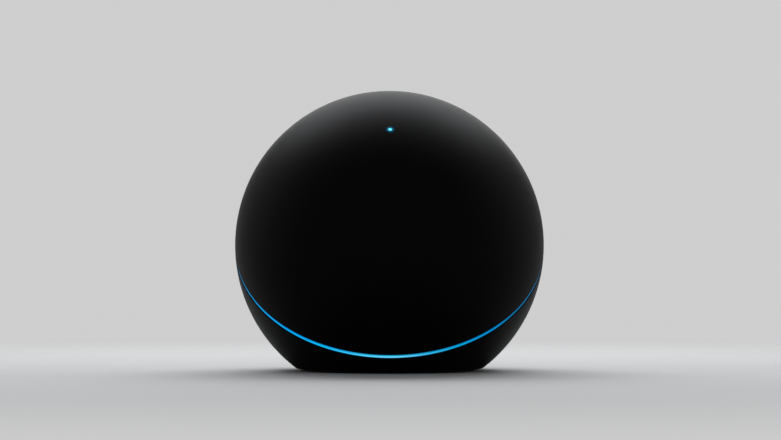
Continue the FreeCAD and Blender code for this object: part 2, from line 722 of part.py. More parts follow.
def make_bearing_outer_race():
    body = new_body("bearing_outer_race", lay_tilted)
    revolve(body, race_outline(outer_seat, outer_shoulder, left))
    return body


def make_bearing_inner_race():
    body = new_body("bearing_inner_race", lay_tilted)
    revolve(body, race_outline(inner_seat, inner_shoulder, right))
    return body


def make_bearing_balls():
    body = new_body("bearing_balls", lay_tilted)
    ball = body.newObject("PartDesign::AdditiveSphere", "ball")
    ball.AttachmentSupport = [(origin_part(body, "XY_Plane"), "")]
    ball.MapMode = "FlatFace"
    bind(ball, "Radius", "ball_size / 2")
    bind(ball, "AttachmentOffset.Base.y", f"-{pitch_radius}")
    bind(ball, "AttachmentOffset.Base.z", race_middle)
    around(body, ball, ball_count)
    return body


def make_bearing_cage():
    body = new_body("bearing_cage", lay_tilted)
    square_ring(body, f"{pitch_radius} - cage_wall / 2", f"{pitch_radius} + cage_wall / 2",
                f"{race_middle} - cage_height / 2", f"{race_middle} + cage_height / 2")
    hole = cut_circles(body, "XZ_Plane", "0", [("0", race_middle)], "ball_size / 2 + pocket_fit",
                       f"{pitch_radius} + cage_wall", outward=True)
    around(body, hole, ball_count)
    return body


# Base: shell, foot and seam light

base_screw_places = ring_places(boss_circle, boss_count)
power_screw_places = [
    (f"{side}power_screw_side", along)
    for side in ("", "-")
    for along in ("power_screw_inset - power_front", f"{power_back} - power_screw_inset")]


def base_outline():
    """Wall and floor of a whole ball with a flat underside and a bed for the foot pad."""
    share = f"ball_radius / {edge_centre}"
    floor_edge = f"sqrt({base_inner} ^ 2 - {floor_top} ^ 2)"
    bed = f"({underside} + foot_bed)"
    return [
        ("0", "ball_radius", "ball_radius", right),
        (f"{flat_radius} * {share}", f"{edge_height} * {share}", "edge_round", right),
        (flat_radius, underside),
        (foot_radius, underside),
        (foot_radius, bed),
        ("0", bed),
        ("0", floor_top),
        (floor_edge, floor_top, base_inner, left),
        ("0", base_inner)]


def make_base_shell():
    body = new_body("base_shell", lay_upright)
    revolve(body, base_outline())
    open_top = tilted_sketch(body, base_rim)
    draw_circles(open_top, [("0", "0")], "ball_radius + 2")
    pocket(body, open_top, "ball_radius + 2", outward=True)
    bosses = tilted_sketch(body, flange_low)
    draw_circles(bosses, base_screw_places, "base_boss")
    pad(body, bosses, "base_boss_length", downward=True)
    pilots = tilted_sketch(body, flange_low)
    draw_circles(pilots, base_screw_places, "screw_shank")
    pocket(body, pilots, "thread_reach + 1")
    pad_circles(body, "XY_Plane", floor_top, power_screw_places, "floor_boss",
                f"{power_board_low} - {centre_height} - {floor_top}")
    cut_circles(body, "XY_Plane", f"{power_board_low} - {centre_height}", power_screw_places,
                "screw_shank", "thread_reach")
    cut_rear_opening(body)
    add_panel_lugs(body)
    break_rim(body)
    return body


def cut_rear_opening(body):
    opening = new_sketch(body, "XZ_Plane")
    draw_round_box(opening, "0", panel_from_centre, "(panel_width + 2 * panel_fit)",
                   "(panel_tall + 2 * panel_fit)", "(panel_corner + panel_fit)")
    pocket(body, opening, "ball_radius + 2")


def add_panel_lugs(body):
    """Lugs inside the shell, behind the panel, for its two screws."""
    lug_back = f"({panel_face} - panel_floor)"
    lug_edge = "(panel_screw_row + lug_half_height)"
    outer = f"(sqrt((ball_radius - boss_cover) ^ 2 - {lug_back} ^ 2 - {lug_edge} ^ 2))"
    middle = f"({panel_from_centre} + panel_screw_row)"
    for side in ("", "-"):
        lug = new_sketch(body, "XZ_Plane", f"-{lug_back}")
        draw_box(lug, f"{side}({outer} + lug_reach) / 2", middle, f"({outer} - lug_reach)",
                 "(2 * lug_half_height)")
        pad(body, lug, "lug_depth")
    places = [(f"{side}panel_screw_side", middle) for side in ("", "-")]
    cut_circles(body, "XZ_Plane", f"-{lug_back}", places, "screw_shank", "lug_depth + 1",
                outward=True)


def break_rim(body):
    """A small chamfer round the outside of the rim."""
    edge_out = f"sqrt(ball_radius ^ 2 - {base_rim} ^ 2)"
    sketch = tilted_sketch(body, base_rim)
    draw_circles(sketch, [("0", "0")], edge_out)
    inner = f"({edge_out} - rim_break)"
    draw_circles(sketch, [("0", "0")], inner)
    pocket(body, sketch, "rim_break")


def make_foot_pad():
    body = new_body("foot_pad", lay_on_table)
    pad_circles(body, "XY_Plane", "0", [("0", "0")], foot_radius, "base_lift + foot_bed")
    return body


def make_light_ring():
    """Frosted ring in the seam, standing on the base shell's rim."""
    body = new_body("light_ring", lay_tilted)
    outside = "(ball_radius - ring_inset)"
    edge = f"sqrt({outside} ^ 2 - (ring_height / 2) ^ 2)"
    revolve(body, [
        (ring_inner, base_rim),
        (edge, base_rim, outside, left),
        (edge, "ring_height / 2"),
        (ring_inner, "ring_height / 2")])
    return body


def make_led_ring_board():
    body = new_body("led_ring_board", lay_tilted)
    square_ring(body, led_board_inner, led_board_outer, "-flange_drop", led_board_top)
    return body


def make_ring_leds():
    body = new_body("ring_leds", lay_tilted)
    led = add_block(body, "0", f"-({ring_inner} - led_gap - led_depth / 2)", led_board_top,
                    "led_width", "led_depth", "led_height")
    around(body, led, led_count)
    return body


def make_hall_sensors():
    """Two small sensors on the ring board, under the magnet ring."""
    body = new_body("hall_sensors", lay_tilted)
    for side in ("", "-"):
        add_block(body, f"{side}({outer_seat} * sin(hall_angle))", f"{outer_seat} * cos(hall_angle)",
                  led_board_top, "hall_side", "hall_side", "hall_height")
    return body


# Chassis: carries the bearing, the boards and the sensor cap

cap_screw_places = ring_places(hub_screw_circle, cap_screw_count, "cap_screw_turn")
clamp_screw_places = ring_places(hub_screw_circle, clamp_screw_count)
main_screw_places = ring_places(main_screw_circle, arm_count, "arm_turn")


def make_bearing_chassis():
    body = new_body("bearing_chassis", lay_tilted)
    revolve(body, [
        (hub_inner, flange_low),
        (flange_radius, flange_low),
        (flange_radius, "-flange_drop"),
        (f"{inner_seat} + shoulder", "-flange_drop"),
        (f"{inner_seat} + shoulder", "race_low"),
        (inner_seat, "race_low"),
        (inner_seat, race_top),
        (hub_inner, race_top)])
    for number in range(arm_count):
        add_board_arm(body, f"(arm_turn + {360.0 * number / arm_count})")
    pad_circles(body, "XY_Plane", "-main_top", main_screw_places, "standoff_radius",
                "main_top - flange_drop")
    cut_circles(body, "XY_Plane", "-main_top", main_screw_places, "screw_shank", "thread_reach",
                outward=True)
    cut_circles(body, "XY_Plane", "-flange_drop", base_screw_places, "screw_shank + screw_play",
                "flange_wall + 1")
    cut_circles(body, "XY_Plane", "-flange_drop", base_screw_places, "screw_head + screw_play",
                "head_height")
    cut_circles(body, "XY_Plane", race_top, clamp_screw_places, "screw_shank", "thread_reach")
    cut_circles(body, "XY_Plane", race_top, cap_screw_places, "screw_shank", "thread_reach")
    cable_slot = new_sketch(body, "XY_Plane", "-flange_drop")
    draw_box(cable_slot, f"-{led_cable_radius}", "0", "(cable_wall + 2 * cable_room)",
             "(cable_width + 2 * cable_room)")
    pocket(body, cable_slot, "flange_wall + 1")
    return body


def add_board_arm(body, angle):
    """An arm from the hub inwards to one standoff of the main board."""
    inner, outer, half = main_screw_circle, f"({hub_inner} + arm_overlap)", "arm_width / 2"
    corners = [(inner, f"-{half}"), (outer, f"-{half}"), (outer, half), (inner, half)]
    sketch = new_sketch(body, "XY_Plane", flange_low)
    draw_outline(sketch, [
        (f"{radius} * cos{angle} - ({side}) * sin{angle}",
         f"{radius} * sin{angle} + ({side}) * cos{angle}") for radius, side in corners])
    pad(body, sketch, "flange_wall")


def make_chassis_screws():
    return screws("chassis_screws", lay_tilted, base_screw_places, "(-flange_drop - head_height)",
                  "flange_wall - head_height + thread_reach")


def make_race_clamp_ring():
    body = new_body("race_clamp_ring", lay_tilted)
    square_ring(body, clamp_inner, clamp_outer, race_top, clamp_top)
    cut_circles(body, "XY_Plane", clamp_top, clamp_screw_places, "screw_head + screw_play",
                "head_height")
    cut_circles(body, "XY_Plane", clamp_top, clamp_screw_places, "screw_shank + screw_play",
                "clamp_wall + 1")
    cut_circles(body, "XY_Plane", clamp_top, cap_screw_places, "screw_shank + screw_play",
                "clamp_wall + 1")
    return body


def make_clamp_screws():
    return screws("clamp_screws", lay_tilted, clamp_screw_places, f"({clamp_top} - head_height)",
                  "clamp_wall - head_height + thread_reach")


def make_sensor_cap():
    """Plastic cap under the dome: flange, straight wall and round top."""
    body = new_body("sensor_cap", lay_tilted)
    knee = f"sqrt({cap_ball} ^ 2 - {cap_cylinder} ^ 2)"
    bore = f"({cap_cylinder} - cap_wall)"
    inner_knee = f"sqrt({cap_inner} ^ 2 - {bore} ^ 2)"
    revolve(body, [
        (clamp_inner, clamp_top),
        (cap_cylinder, clamp_top),
        (cap_cylinder, knee, cap_ball, left),
        ("pole_hole", f"sqrt({cap_ball} ^ 2 - pole_hole ^ 2)"),
        ("pole_hole", f"sqrt({cap_inner} ^ 2 - pole_hole ^ 2)", cap_inner, right),
        (bore, inner_knee),
        (bore, cap_flange_top),
        (clamp_inner, cap_flange_top)])
    places = ring_places("cap_boss_circle", cap_boss_count)
    boss_top = f"sqrt({cap_inner} ^ 2 - (cap_boss_circle - cap_boss) ^ 2)"
    pad_circles(body, "XY_Plane", touch_board_top, places, "cap_boss", f"{boss_top} - {touch_board_top}")
    cut_circles(body, "XY_Plane", cap_flange_top, cap_screw_places, "screw_shank + screw_play",
                "cap_wall + 1")
    return body


def make_cap_screws():
    return screws("cap_screws", lay_tilted, cap_screw_places, cap_flange_top,
                  "cap_wall + clamp_wall + thread_reach")


def make_touch_electrode():
    """Thin conductive skin on the cap's round top."""
    body = new_body("touch_electrode", lay_tilted)
    outside = f"({cap_ball} + electrode_wall)"
    revolve(body, [
        (f"sqrt({cap_ball} ^ 2 - {electrode_low} ^ 2)", electrode_low),
        (f"sqrt({outside} ^ 2 - {electrode_low} ^ 2)", electrode_low, outside, left),
        ("pole_hole", f"sqrt({outside} ^ 2 - pole_hole ^ 2)"),
        ("pole_hole", f"sqrt({cap_ball} ^ 2 - pole_hole ^ 2)", cap_ball, right)])
    return body


def make_touch_board():
    body = new_body("touch_board", lay_tilted)
    pad_circles(body, "XY_Plane", f"{touch_board_top} - touch_board_wall", [("0", "0")],
                "touch_board_radius", "touch_board_wall")
    return body


def make_mute_led():
    return block("mute_led", lay_tilted, "0", "0", touch_board_top, "mute_led_side",
                 "mute_led_side", "mute_led_height")


def make_wifi_antenna():
    """Curved strip on the inside of the cap's straight wall."""
    body = new_body("wifi_antenna", lay_tilted)
    outer, inner = f"({cap_cylinder} - cap_wall)", f"({cap_cylinder} - cap_wall - antenna_wall)"
    sketch = new_sketch(body, "XY_Plane", f"{cap_flange_top} + antenna_lift")
    draw_outline(sketch, [
        (f"{outer} * sin(antenna_spread)", f"{outer} * cos(antenna_spread)", outer, left),
        (f"-{outer} * sin(antenna_spread)", f"{outer} * cos(antenna_spread)"),
        (f"-{inner} * sin(antenna_spread)", f"{inner} * cos(antenna_spread)", inner, right),
        (f"{inner} * sin(antenna_spread)", f"{inner} * cos(antenna_spread)")])
    pad(body, sketch, "antenna_height")
    return body


# Main board and what stands on it

def make_main_board():
    body = new_body("main_board", lay_tilted)
    pad_circles(body, "XY_Plane", main_low, [("0", "0")], main_radius, "board_wall")
    cut_circles(body, "XY_Plane", "-main_top", main_screw_places, "screw_shank + screw_play",
                "board_wall + 1")
    return body


def make_main_board_screws():
    return screws("main_board_screws", lay_tilted, main_screw_places, main_low,
                  "board_wall + thread_reach", upside_down=True)


def make_processor():
    return block("processor", lay_tilted, "-processor_place", "chip_row", "-main_top",
                 "processor_side", "processor_side", "processor_height")


def make_memory_chips():
    """One chip on either side of the processor."""
    body = new_body("memory_chips", lay_tilted)
    step = "(processor_side / 2 + chip_gap + memory_width / 2)"
    for sign in "-+":
        add_block(body, f"-processor_place {sign} {step}", "chip_row", "-main_top", "memory_width",
                  "memory_tall", "memory_height")
    return body


def make_radio_shield_can():
    """Folded lid over the radio, open to the board."""
    middle = "(processor_side / 2 - processor_place + 2 * chip_gap + memory_width + can_width / 2)"
    body = block("radio_shield_can", lay_tilted, middle, "can_row", "-main_top", "can_width",
                 "can_tall", "can_height")
    inside = new_sketch(body, "XY_Plane", "-main_top")
    draw_box(inside, middle, "can_row", "(can_width - 2 * can_sheet)", "(can_tall - 2 * can_sheet)")
    pocket(body, inside, "can_height - can_sheet", outward=True)
    return body


def make_amplifier_chips():
    body = new_body("amplifier_chips", lay_tilted)
    for side in ("", "-"):
        add_block(body, f"{side}amplifier_place", "-amplifier_row", "-main_top", "amplifier_side",
                  "amplifier_side", "amplifier_height")
    return body


def make_amplifier_heat_sink():
    """Comb of fins on the two amplifier chips."""
    body = new_body("amplifier_heat_sink", lay_tilted)
    low = "(-main_top + amplifier_height)"
    add_block(body, "0", "-amplifier_row", low, "sink_width", "sink_deep", "sink_base")
    pitch = f"((sink_width - fin_wall) / {fin_count - 1})"
    for number in range(fin_count):
        add_block(body, f"(fin_wall - sink_width) / 2 + {number} * {pitch}", "-amplifier_row",
                  f"{low} + sink_base", "fin_wall", "sink_deep", "fin_height")
    return body


def make_output_inductors():
    body = new_body("output_inductors", lay_tilted)
    for side in ("", "-"):
        for front in ("coil_back", "coil_front"):
            add_block(body, f"{side}coil_place", f"-{front}", "-main_top", "coil_side", "coil_side",
                      "coil_height")
    return body


def make_strip(label, corners, width):
    """A flat cable: the edge-on outline of its route, widened to both sides."""
    body = new_body(label, lay_tilted)
    sketch = new_sketch(body, "XZ_Plane")
    draw_outline(sketch, corners)
    strip = pad(body, sketch, width)
    strip.Midplane = True
    return body


def make_touch_cable():
    """Flat cable from the main board up to the touch board."""
    top = f"({touch_board_top} - touch_board_wall)"
    return make_strip("touch_cable", [
        ("cable_wall", "-main_top"),
        ("2 * cable_wall", "-main_top"),
        ("2 * cable_wall", top),
        ("cable_wall", top)], "cable_width")


def make_led_ring_cable():
    """Flat cable from the main board's edge, up through the chassis flange to the ring board."""
    outer, inner = f"-({led_cable_radius} + cable_wall / 2)", f"-({led_cable_radius} - cable_wall / 2)"
    start, low = f"-({main_radius} - cable_edge)", "(-main_top + cable_hang)"
    return make_strip("led_ring_cable", [
        (start, "-main_top"),
        (start, f"{low} + cable_wall"),
        (inner, f"{low} + cable_wall"),
        (inner, "-flange_drop"),
        (outer, "-flange_drop"),
        (outer, low),
        (f"{start} - cable_wall", low),
        (f"{start} - cable_wall", "-main_top")], "cable_width")


# Power board and what stands on it

power_top = f"({power_board_low} + board_wall)"


def make_power_board():
    body = new_body("power_board", lay_on_table)
    sketch = new_sketch(body, "XY_Plane", power_board_low)
    draw_round_box(sketch, "0", f"({power_back} - power_front) / 2", "(2 * power_half_width)",
                   f"(power_front + {power_back})", "power_round")
    pad(body, sketch, "board_wall")
    cut_circles(body, "XY_Plane", power_top, power_screw_places, "screw_shank + screw_play",
                "board_wall + 1")
    return body


def make_power_board_screws():
    return screws("power_board_screws", lay_on_table, power_screw_places, power_top,
                  "board_wall + thread_reach")


def make_transformer_core():
    """Ferrite frame with a centre leg, standing across the board."""
    body = block("transformer_core", lay_on_table, "-core_place", core_back, power_top,
                 "core_width", "core_deep", "core_tall")
    windows = new_sketch(body, "XZ_Plane", f"-({core_back} - core_deep / 2)")
    for sign in "-+":
        draw_box(windows, f"(-core_place {sign} (core_leg + core_window) / 2)",
                 f"({power_top} + core_tall / 2)", "core_window", "core_window_tall")
    pocket(body, windows, "core_deep")
    return body


def make_transformer_winding():
    body = new_body("transformer_winding", lay_on_table)
    sketch = new_sketch(body, "XY_Plane",
                        f"{power_top} + (core_tall - core_window_tall) / 2 + winding_play")
    draw_round_box(sketch, "-core_place", core_back, "(core_leg + 2 * core_window - 2 * winding_play)",
                   "(core_deep + 2 * winding_overhang)", "winding_corner")
    draw_box(sketch, "-core_place", core_back, "(core_leg + 2 * winding_play)",
             "(core_deep + 2 * winding_play)")
    pad(body, sketch, "core_window_tall - 2 * winding_play")
    return body


def make_power_capacitors():
    """Two mains capacitors on the right and three output capacitors on the left."""
    body = new_body("power_capacitors", lay_on_table)
    mains = [("mains_capacitor_place", along) for along in (mains_capacitor_near, mains_capacitor_far)]
    output = [("-output_capacitor_place", f"{number} * output_capacitor_step - output_capacitor_front")
              for number in range(3)]
    pad_circles(body, "XY_Plane", power_top, mains, "mains_capacitor_radius", "mains_capacitor_height")
    pad_circles(body, "XY_Plane", power_top, output, "output_capacitor_radius",
                "output_capacitor_height")
    return body


def make_mains_choke():
    """Ring core lying on the board."""
    body = new_body("mains_choke", lay_on_table)
    core = body.newObject("PartDesign::AdditiveTorus", "choke_ring")
    core.AttachmentSupport = [(origin_part(body, "XY_Plane"), "")]
    core.MapMode = "FlatFace"
    bind(core, "Radius1", "choke_radius")
    bind(core, "Radius2", "choke_wire")
    bind(core, "AttachmentOffset.Base.y", "-choke_front")
    bind(core, "AttachmentOffset.Base.z", f"{power_top} + choke_wire")
    return body


def make_mains_fuse():
    body = new_body("mains_fuse", lay_on_table)
    pad_circles(body, "YZ_Plane", "fuse_place", [("-fuse_front", f"{power_top} + fuse_radius")],
                "fuse_radius", "fuse_length")
    return body


def make_power_harness():
    """Leads that leave the socket board forwards and bend down to the power board."""
    body = new_body("power_harness", lay_on_table)
    board = f"({panel_face} - socket_depth - board_wall)"
    for number in range(lead_count):
        across = f"{number - (lead_count - 1) / 2} * lead_pitch"
        route = new_sketch(body, "YZ_Plane", across)
        draw_path(route, [
            (board, lead_height),
            (f"{board} - lead_start", lead_height, "lead_bend", left),
            (f"{board} - lead_start - lead_bend", f"{lead_height} - lead_bend"),
            (f"{board} - lead_start - lead_bend", power_top)])
        section = new_sketch(body, "XZ_Plane", f"-{board}")
        draw_circles(section, [(across, lead_height)], "lead_radius")
        lead = body.newObject("PartDesign::AdditivePipe", "lead")
        lead.Profile = section
        lead.Spine = route
    return body


# Rear panel and sockets

def speaker_places(first, second):
    return [(f"{number} * speaker_pitch", "upper_row") for number in (first, second)]


speaker_red_places = speaker_places(-1.5, 0.5)
speaker_black_places = speaker_places(-0.5, 1.5)
speaker_all_places = speaker_red_places + speaker_black_places
panel_screw_places = [("panel_screw_side", "panel_screw_row"), ("-panel_screw_side", "panel_screw_row")]
post_places = [
    ("post_side", "io_rise - post_inset"),
    ("-post_side", "io_rise - post_inset"),
    ("post_side", "post_low - panel_tall / 2")]


def make_rear_panel():
    """Recessed tray whose rim follows the ball."""
    body = new_body("rear_panel", lay_rear)
    outside = new_sketch(body, "XY_Plane", "-panel_floor")
    draw_round_box(outside, "0", "0", "panel_width", "panel_tall", "panel_corner")
    pad(body, outside, f"ball_radius - {panel_face} + panel_floor")
    inside = new_sketch(body, "XY_Plane")
    draw_round_box(inside, "0", "0", "(panel_width - 2 * panel_wall)",
                   "(panel_tall - 2 * panel_wall)", "(panel_corner - panel_wall)")
    pocket(body, inside, "ball_radius", outward=True)
    pad_circles(body, "XY_Plane", "-socket_depth", post_places, "post_radius",
                "socket_depth - panel_floor")
    cut_circles(body, "XY_Plane", "-socket_depth", post_places, "screw_shank", "thread_reach",
                outward=True)
    cut_panel_holes(body)
    trim_to_ball(body)
    return body


def cut_panel_holes(body):
    """Holes through the panel's floor for every socket and for the two screws."""
    depth = "panel_floor + 1"
    cut_circles(body, "XY_Plane", "0", speaker_all_places, "speaker_body + panel_fit", depth)
    cut_circles(body, "XY_Plane", "0", panel_screw_places, "screw_shank + screw_play", depth)
    holes = new_sketch(body, "XY_Plane")
    draw_round_box(holes, "-inlet_place", "-lower_row", "(inlet_width + 2 * panel_fit)",
                   "(inlet_tall + 2 * panel_fit)", "(inlet_corner + panel_fit)")
    draw_box(holes, "ethernet_place", "-lower_row", "(ethernet_width + 2 * panel_fit)",
             "(ethernet_tall + 2 * panel_fit)")
    draw_box(holes, "optical_place", "-lower_row", "(optical_size + 2 * panel_fit)",
             "(optical_size + 2 * panel_fit)")
    draw_round_box(holes, "hdmi_place", "-hdmi_row", "(hdmi_width + 2 * panel_fit)",
                   "(hdmi_tall + 2 * panel_fit)", "(hdmi_corner + panel_fit)")
    pocket(body, holes, depth)


def trim_to_ball(body):
    """Cut away what stands out of the ball, by turning the outside region about an upright axis."""
    sketch = new_sketch(body, "YZ_Plane")
    middle, back = f"({centre_height} - {panel_height})", f"-{panel_face}"
    near, far = "(ball_radius - panel_sink)", "(2 * ball_radius)"
    draw_outline(sketch, [
        (middle, f"{back} + {near}", near, right),
        (f"{middle} + {near}", back),
        (f"{middle} + {far}", back, far, left),
        (middle, f"{back} + {far}")])
    groove_cut = body.newObject("PartDesign::Groove", "rear_panel_trim")
    groove_cut.Profile = sketch
    ends = [Vector(amount(middle), 0, 0), Vector(amount(middle), amount("ball_radius"), 0)]
    line = sketch.addGeometry(Part.LineSegment(*ends), True)
    fix_point(sketch, line, 1, middle, "0")
    fix_point(sketch, line, 2, middle, "ball_radius")
    groove_cut.ReferenceAxis = (sketch, ["Axis0"])
    groove_cut.Angle = 360


def make_panel_screws():
    return screws("panel_screws", lay_rear, panel_screw_places, "0", "panel_floor + thread_reach")


def make_io_board():
    body = new_body("socket_board", lay_rear)
    sketch = new_sketch(body, "XY_Plane", "-socket_depth - board_wall")
    draw_round_box(sketch, "0", "(io_rise - io_drop) / 2", "(2 * io_half_width)",
                   "(io_rise + io_drop)", "io_round")
    pad(body, sketch, "board_wall")
    cut_circles(body, "XY_Plane", "-socket_depth", post_places, "screw_shank + screw_play",
                "board_wall + 1")
    return body


def make_io_board_screws():
    return screws("socket_board_screws", lay_rear, post_places, "(-socket_depth - board_wall)",
                  "board_wall + thread_reach", upside_down=True)


def make_speaker_insulators(label, places):
    """Coloured collar and body of a 4 mm speaker socket."""
    body = new_body(label, lay_rear)
    pad_circles(body, "XY_Plane", "0", places, "speaker_collar", "speaker_proud")
    pad_circles(body, "XY_Plane", "-socket_depth", places, "speaker_body", "socket_depth")
    cut_circles(body, "XY_Plane", "-socket_depth - 1", places, "contact_radius",
                "socket_depth + speaker_proud + 2", outward=True)
    return body


def make_speaker_contacts():
    body = new_body("speaker_socket_contacts", lay_rear)
    front = "(speaker_proud - speaker_recess)"
    pad_circles(body, "XY_Plane", "-socket_depth", speaker_all_places, "contact_radius",
                f"socket_depth + {front}")
    cut_circles(body, "XY_Plane", front, speaker_all_places, "plug_radius", plug_depth)
    return body


def make_mains_inlet():
    body = new_body("mains_inlet", lay_rear)
    sketch = new_sketch(body, "XY_Plane", "-socket_depth")
    draw_round_box(sketch, "-inlet_place", "-lower_row", "inlet_width", "inlet_tall", "inlet_corner")
    pad(body, sketch, "socket_depth")
    pins = mains_pin_places()
    cut_circles(body, "XY_Plane", "0", pins, "inlet_lobe", inlet_depth)
    waist = new_sketch(body, "XY_Plane")
    draw_box(waist, "-inlet_place", "-lower_row", "pin_pitch", "inlet_waist")
    pocket(body, waist, inlet_depth)
    cut_circles(body, "XY_Plane", "0", pins, "pin_radius", "socket_depth + 1")
    return body


def mains_pin_places():
    return [(f"-inlet_place {sign} pin_pitch / 2", "-lower_row") for sign in "+-"]


def make_mains_pins():
    body = new_body("mains_pins", lay_rear)
    pad_circles(body, "XY_Plane", "-socket_depth", mains_pin_places(), "pin_radius",
                "socket_depth - pin_recess")
    return body


def make_ethernet_shield():
    body = new_body("ethernet_shield", lay_rear)
    add_block(body, "ethernet_place", "-lower_row", "-socket_depth", "ethernet_width",
              "ethernet_tall", "socket_depth + ethernet_proud")
    inside = new_sketch(body, "XY_Plane", "ethernet_proud")
    draw_box(inside, "ethernet_place", "-lower_row", "(ethernet_width - 2 * ethernet_sheet)",
             "(ethernet_tall - 2 * ethernet_sheet)")
    pocket(body, inside, "socket_depth + ethernet_proud - ethernet_sheet")
    return body


ethernet_roof_row = "(ethernet_tall / 2 - ethernet_roof - lower_row)"
ethernet_plug_middle = f"({ethernet_roof_row} - ethernet_plug_tall / 2)"
ethernet_plug_under = f"({ethernet_roof_row} - ethernet_plug_tall)"


def make_ethernet_insert():
    """Plastic block inside the shield with the stepped hollow that takes the plug and its clip."""
    body = new_body("ethernet_insert", lay_rear)
    add_block(body, "ethernet_place", "-lower_row", "-socket_depth + ethernet_sheet",
              "(ethernet_width - 2 * ethernet_sheet)", "(ethernet_tall - 2 * ethernet_sheet)",
              "socket_depth - ethernet_sheet")
    steps = [
        (ethernet_plug_middle, "ethernet_plug_width", "ethernet_plug_tall"),
        (f"({ethernet_plug_under} - clip_tall / 2)", "clip_width", "clip_tall"),
        (f"({ethernet_plug_under} - 3 * clip_tall / 2)", "clip_tongue", "clip_tall")]
    for along, width, tall in steps:
        sketch = new_sketch(body, "XY_Plane")
        draw_box(sketch, "ethernet_place", along, width, tall)
        pocket(body, sketch, ethernet_plug_depth)
    return body


def make_ethernet_contacts():
    """Eight spring wires along the roof of the plug hollow."""
    body = new_body("ethernet_contacts", lay_rear)
    for number in range(contact_count):
        add_block(body, f"ethernet_place + {number - (contact_count - 1) / 2} * contact_pitch",
                  f"{ethernet_roof_row} - contact_drop", f"-{ethernet_plug_depth}",
                  "contact_wire", "contact_wire", "contact_length")
    return body


optical_pin_row = "(optical_bore / 2 - shutter_pin_drop - lower_row)"


def make_optical_housing():
    body = new_body("optical_housing", lay_rear)
    add_block(body, "optical_place", "-lower_row", "-socket_depth", "optical_size", "optical_size",
              "socket_depth")
    inside = new_sketch(body, "XY_Plane")
    draw_box(inside, "optical_place", "-lower_row", "optical_bore", "optical_bore")
    pocket(body, inside, optical_depth)
    pin_hole = new_sketch(body, "YZ_Plane", "optical_place - optical_bore / 2 - shutter_pin_reach")
    draw_circles(pin_hole, [(optical_pin_row, "-shutter_inset")], "shutter_pin + pin_fit")
    pocket(body, pin_hole, "optical_bore + 2 * shutter_pin_reach", outward=True)
    return body


def make_optical_shutter():
    """Flap that hangs from a pin at the top of the optical socket and swings inwards."""
    body = new_body("optical_shutter", lay_rear)
    plate = new_sketch(body, "XY_Plane", "-shutter_inset - shutter_wall / 2")
    under = "(-optical_bore / 2 + shutter_play - lower_row)"
    draw_box(plate, "optical_place", f"({optical_pin_row} + {under}) / 2",
             "(optical_bore - 2 * shutter_play)", f"({optical_pin_row} - {under})")
    pad(body, plate, "shutter_wall")
    pin = new_sketch(body, "YZ_Plane", "optical_place - optical_bore / 2 - shutter_pin_reach + pin_fit")
    draw_circles(pin, [(optical_pin_row, "-shutter_inset")], "shutter_pin")
    pad(body, pin, "optical_bore + 2 * shutter_pin_reach - 2 * pin_fit")
    return body


def make_hdmi_shell():
    body = new_body("hdmi_shell", lay_rear)
    outside = new_sketch(body, "XY_Plane", "-socket_depth")
    draw_round_box(outside, "hdmi_place", "-hdmi_row", "hdmi_width", "hdmi_tall", "hdmi_corner")
    draw_round_box(outside, "hdmi_place", "-hdmi_row", "(hdmi_width - 2 * hdmi_sheet)",
                   "(hdmi_tall - 2 * hdmi_sheet)", "(hdmi_corner - hdmi_sheet)")
    pad(body, outside, "socket_depth")
    return body


def make_hdmi_tongue():
    body = new_body("hdmi_tongue", lay_rear)
    add_block(body, "hdmi_place", "-hdmi_row", "-socket_depth", "(hdmi_width - 2 * hdmi_corner)",
              "(hdmi_tall - 2 * hdmi_sheet)", "hdmi_block")
    add_block(body, "hdmi_place", "-hdmi_row", "-socket_depth", "hdmi_tongue_width",
              "hdmi_tongue_wall", "socket_depth - hdmi_tongue_sink")
    return body


def make_all():
    return [
        make_dome_shell(), make_mute_light_window(), make_dome_carrier(), make_carrier_screws(),
        make_race_retaining_ring(), make_encoder_magnet_ring(),
        make_bearing_outer_race(), make_bearing_inner_race(), make_bearing_balls(), make_bearing_cage(),
        make_base_shell(), make_foot_pad(), make_light_ring(),
        make_led_ring_board(), make_ring_leds(), make_hall_sensors(),
        make_bearing_chassis(), make_chassis_screws(), make_race_clamp_ring(), make_clamp_screws(),
        make_sensor_cap(), make_cap_screws(), make_touch_electrode(), make_touch_board(),
        make_mute_led(), make_wifi_antenna(),
        make_main_board(), make_main_board_screws(), make_processor(), make_memory_chips(),
        make_radio_shield_can(), make_amplifier_chips(),
        make_amplifier_heat_sink(), make_output_inductors(), make_touch_cable(), make_led_ring_cable(),
        make_power_board(), make_power_board_screws(), make_transformer_core(),
        make_transformer_winding(), make_power_capacitors(), make_mains_choke(), make_mains_fuse(),
        make_power_harness(),
        make_rear_panel(), make_panel_screws(), make_io_board(), make_io_board_screws(),
        make_speaker_insulators("speaker_sockets_red", speaker_red_places),
        make_speaker_insulators("speaker_sockets_black", speaker_black_places),
        make_speaker_contacts(), make_mains_inlet(), make_mains_pins(),
        make_ethernet_shield(), make_ethernet_insert(), make_ethernet_contacts(),
        make_optical_housing(), make_optical_shutter(),
        make_hdmi_shell(), make_hdmi_tongue()]


def check(pieces):
    """Stop if anything in the document failed, or a piece is empty or not valid."""
    for item in doc.Objects:
        if "Invalid" in item.State or "Error" in item.State:
            raise RuntimeError(f"{item.Label}: {item.State}")
        if item.TypeId == "Sketcher::SketchObject" and not item.FullyConstrained:
            raise RuntimeError(f"{item.Label}: a sketch is not fully constrained")
    for piece in pieces:
        if piece.Shape.isNull() or not piece.Shape.isValid() or not piece.Shape.Solids:
            raise RuntimeError(f"{piece.Label}: the shape is empty or not valid")


pieces = make_all()
doc.recompute()
check(pieces)
os.makedirs("parts", exist_ok=True)
for piece in pieces:
    piece.Shape.exportStep(f"parts/{piece.Label}.step")
    print(f"{piece.Label}: {len(piece.Shape.Solids)} solids, {piece.Shape.Volume:.1f} mm3")
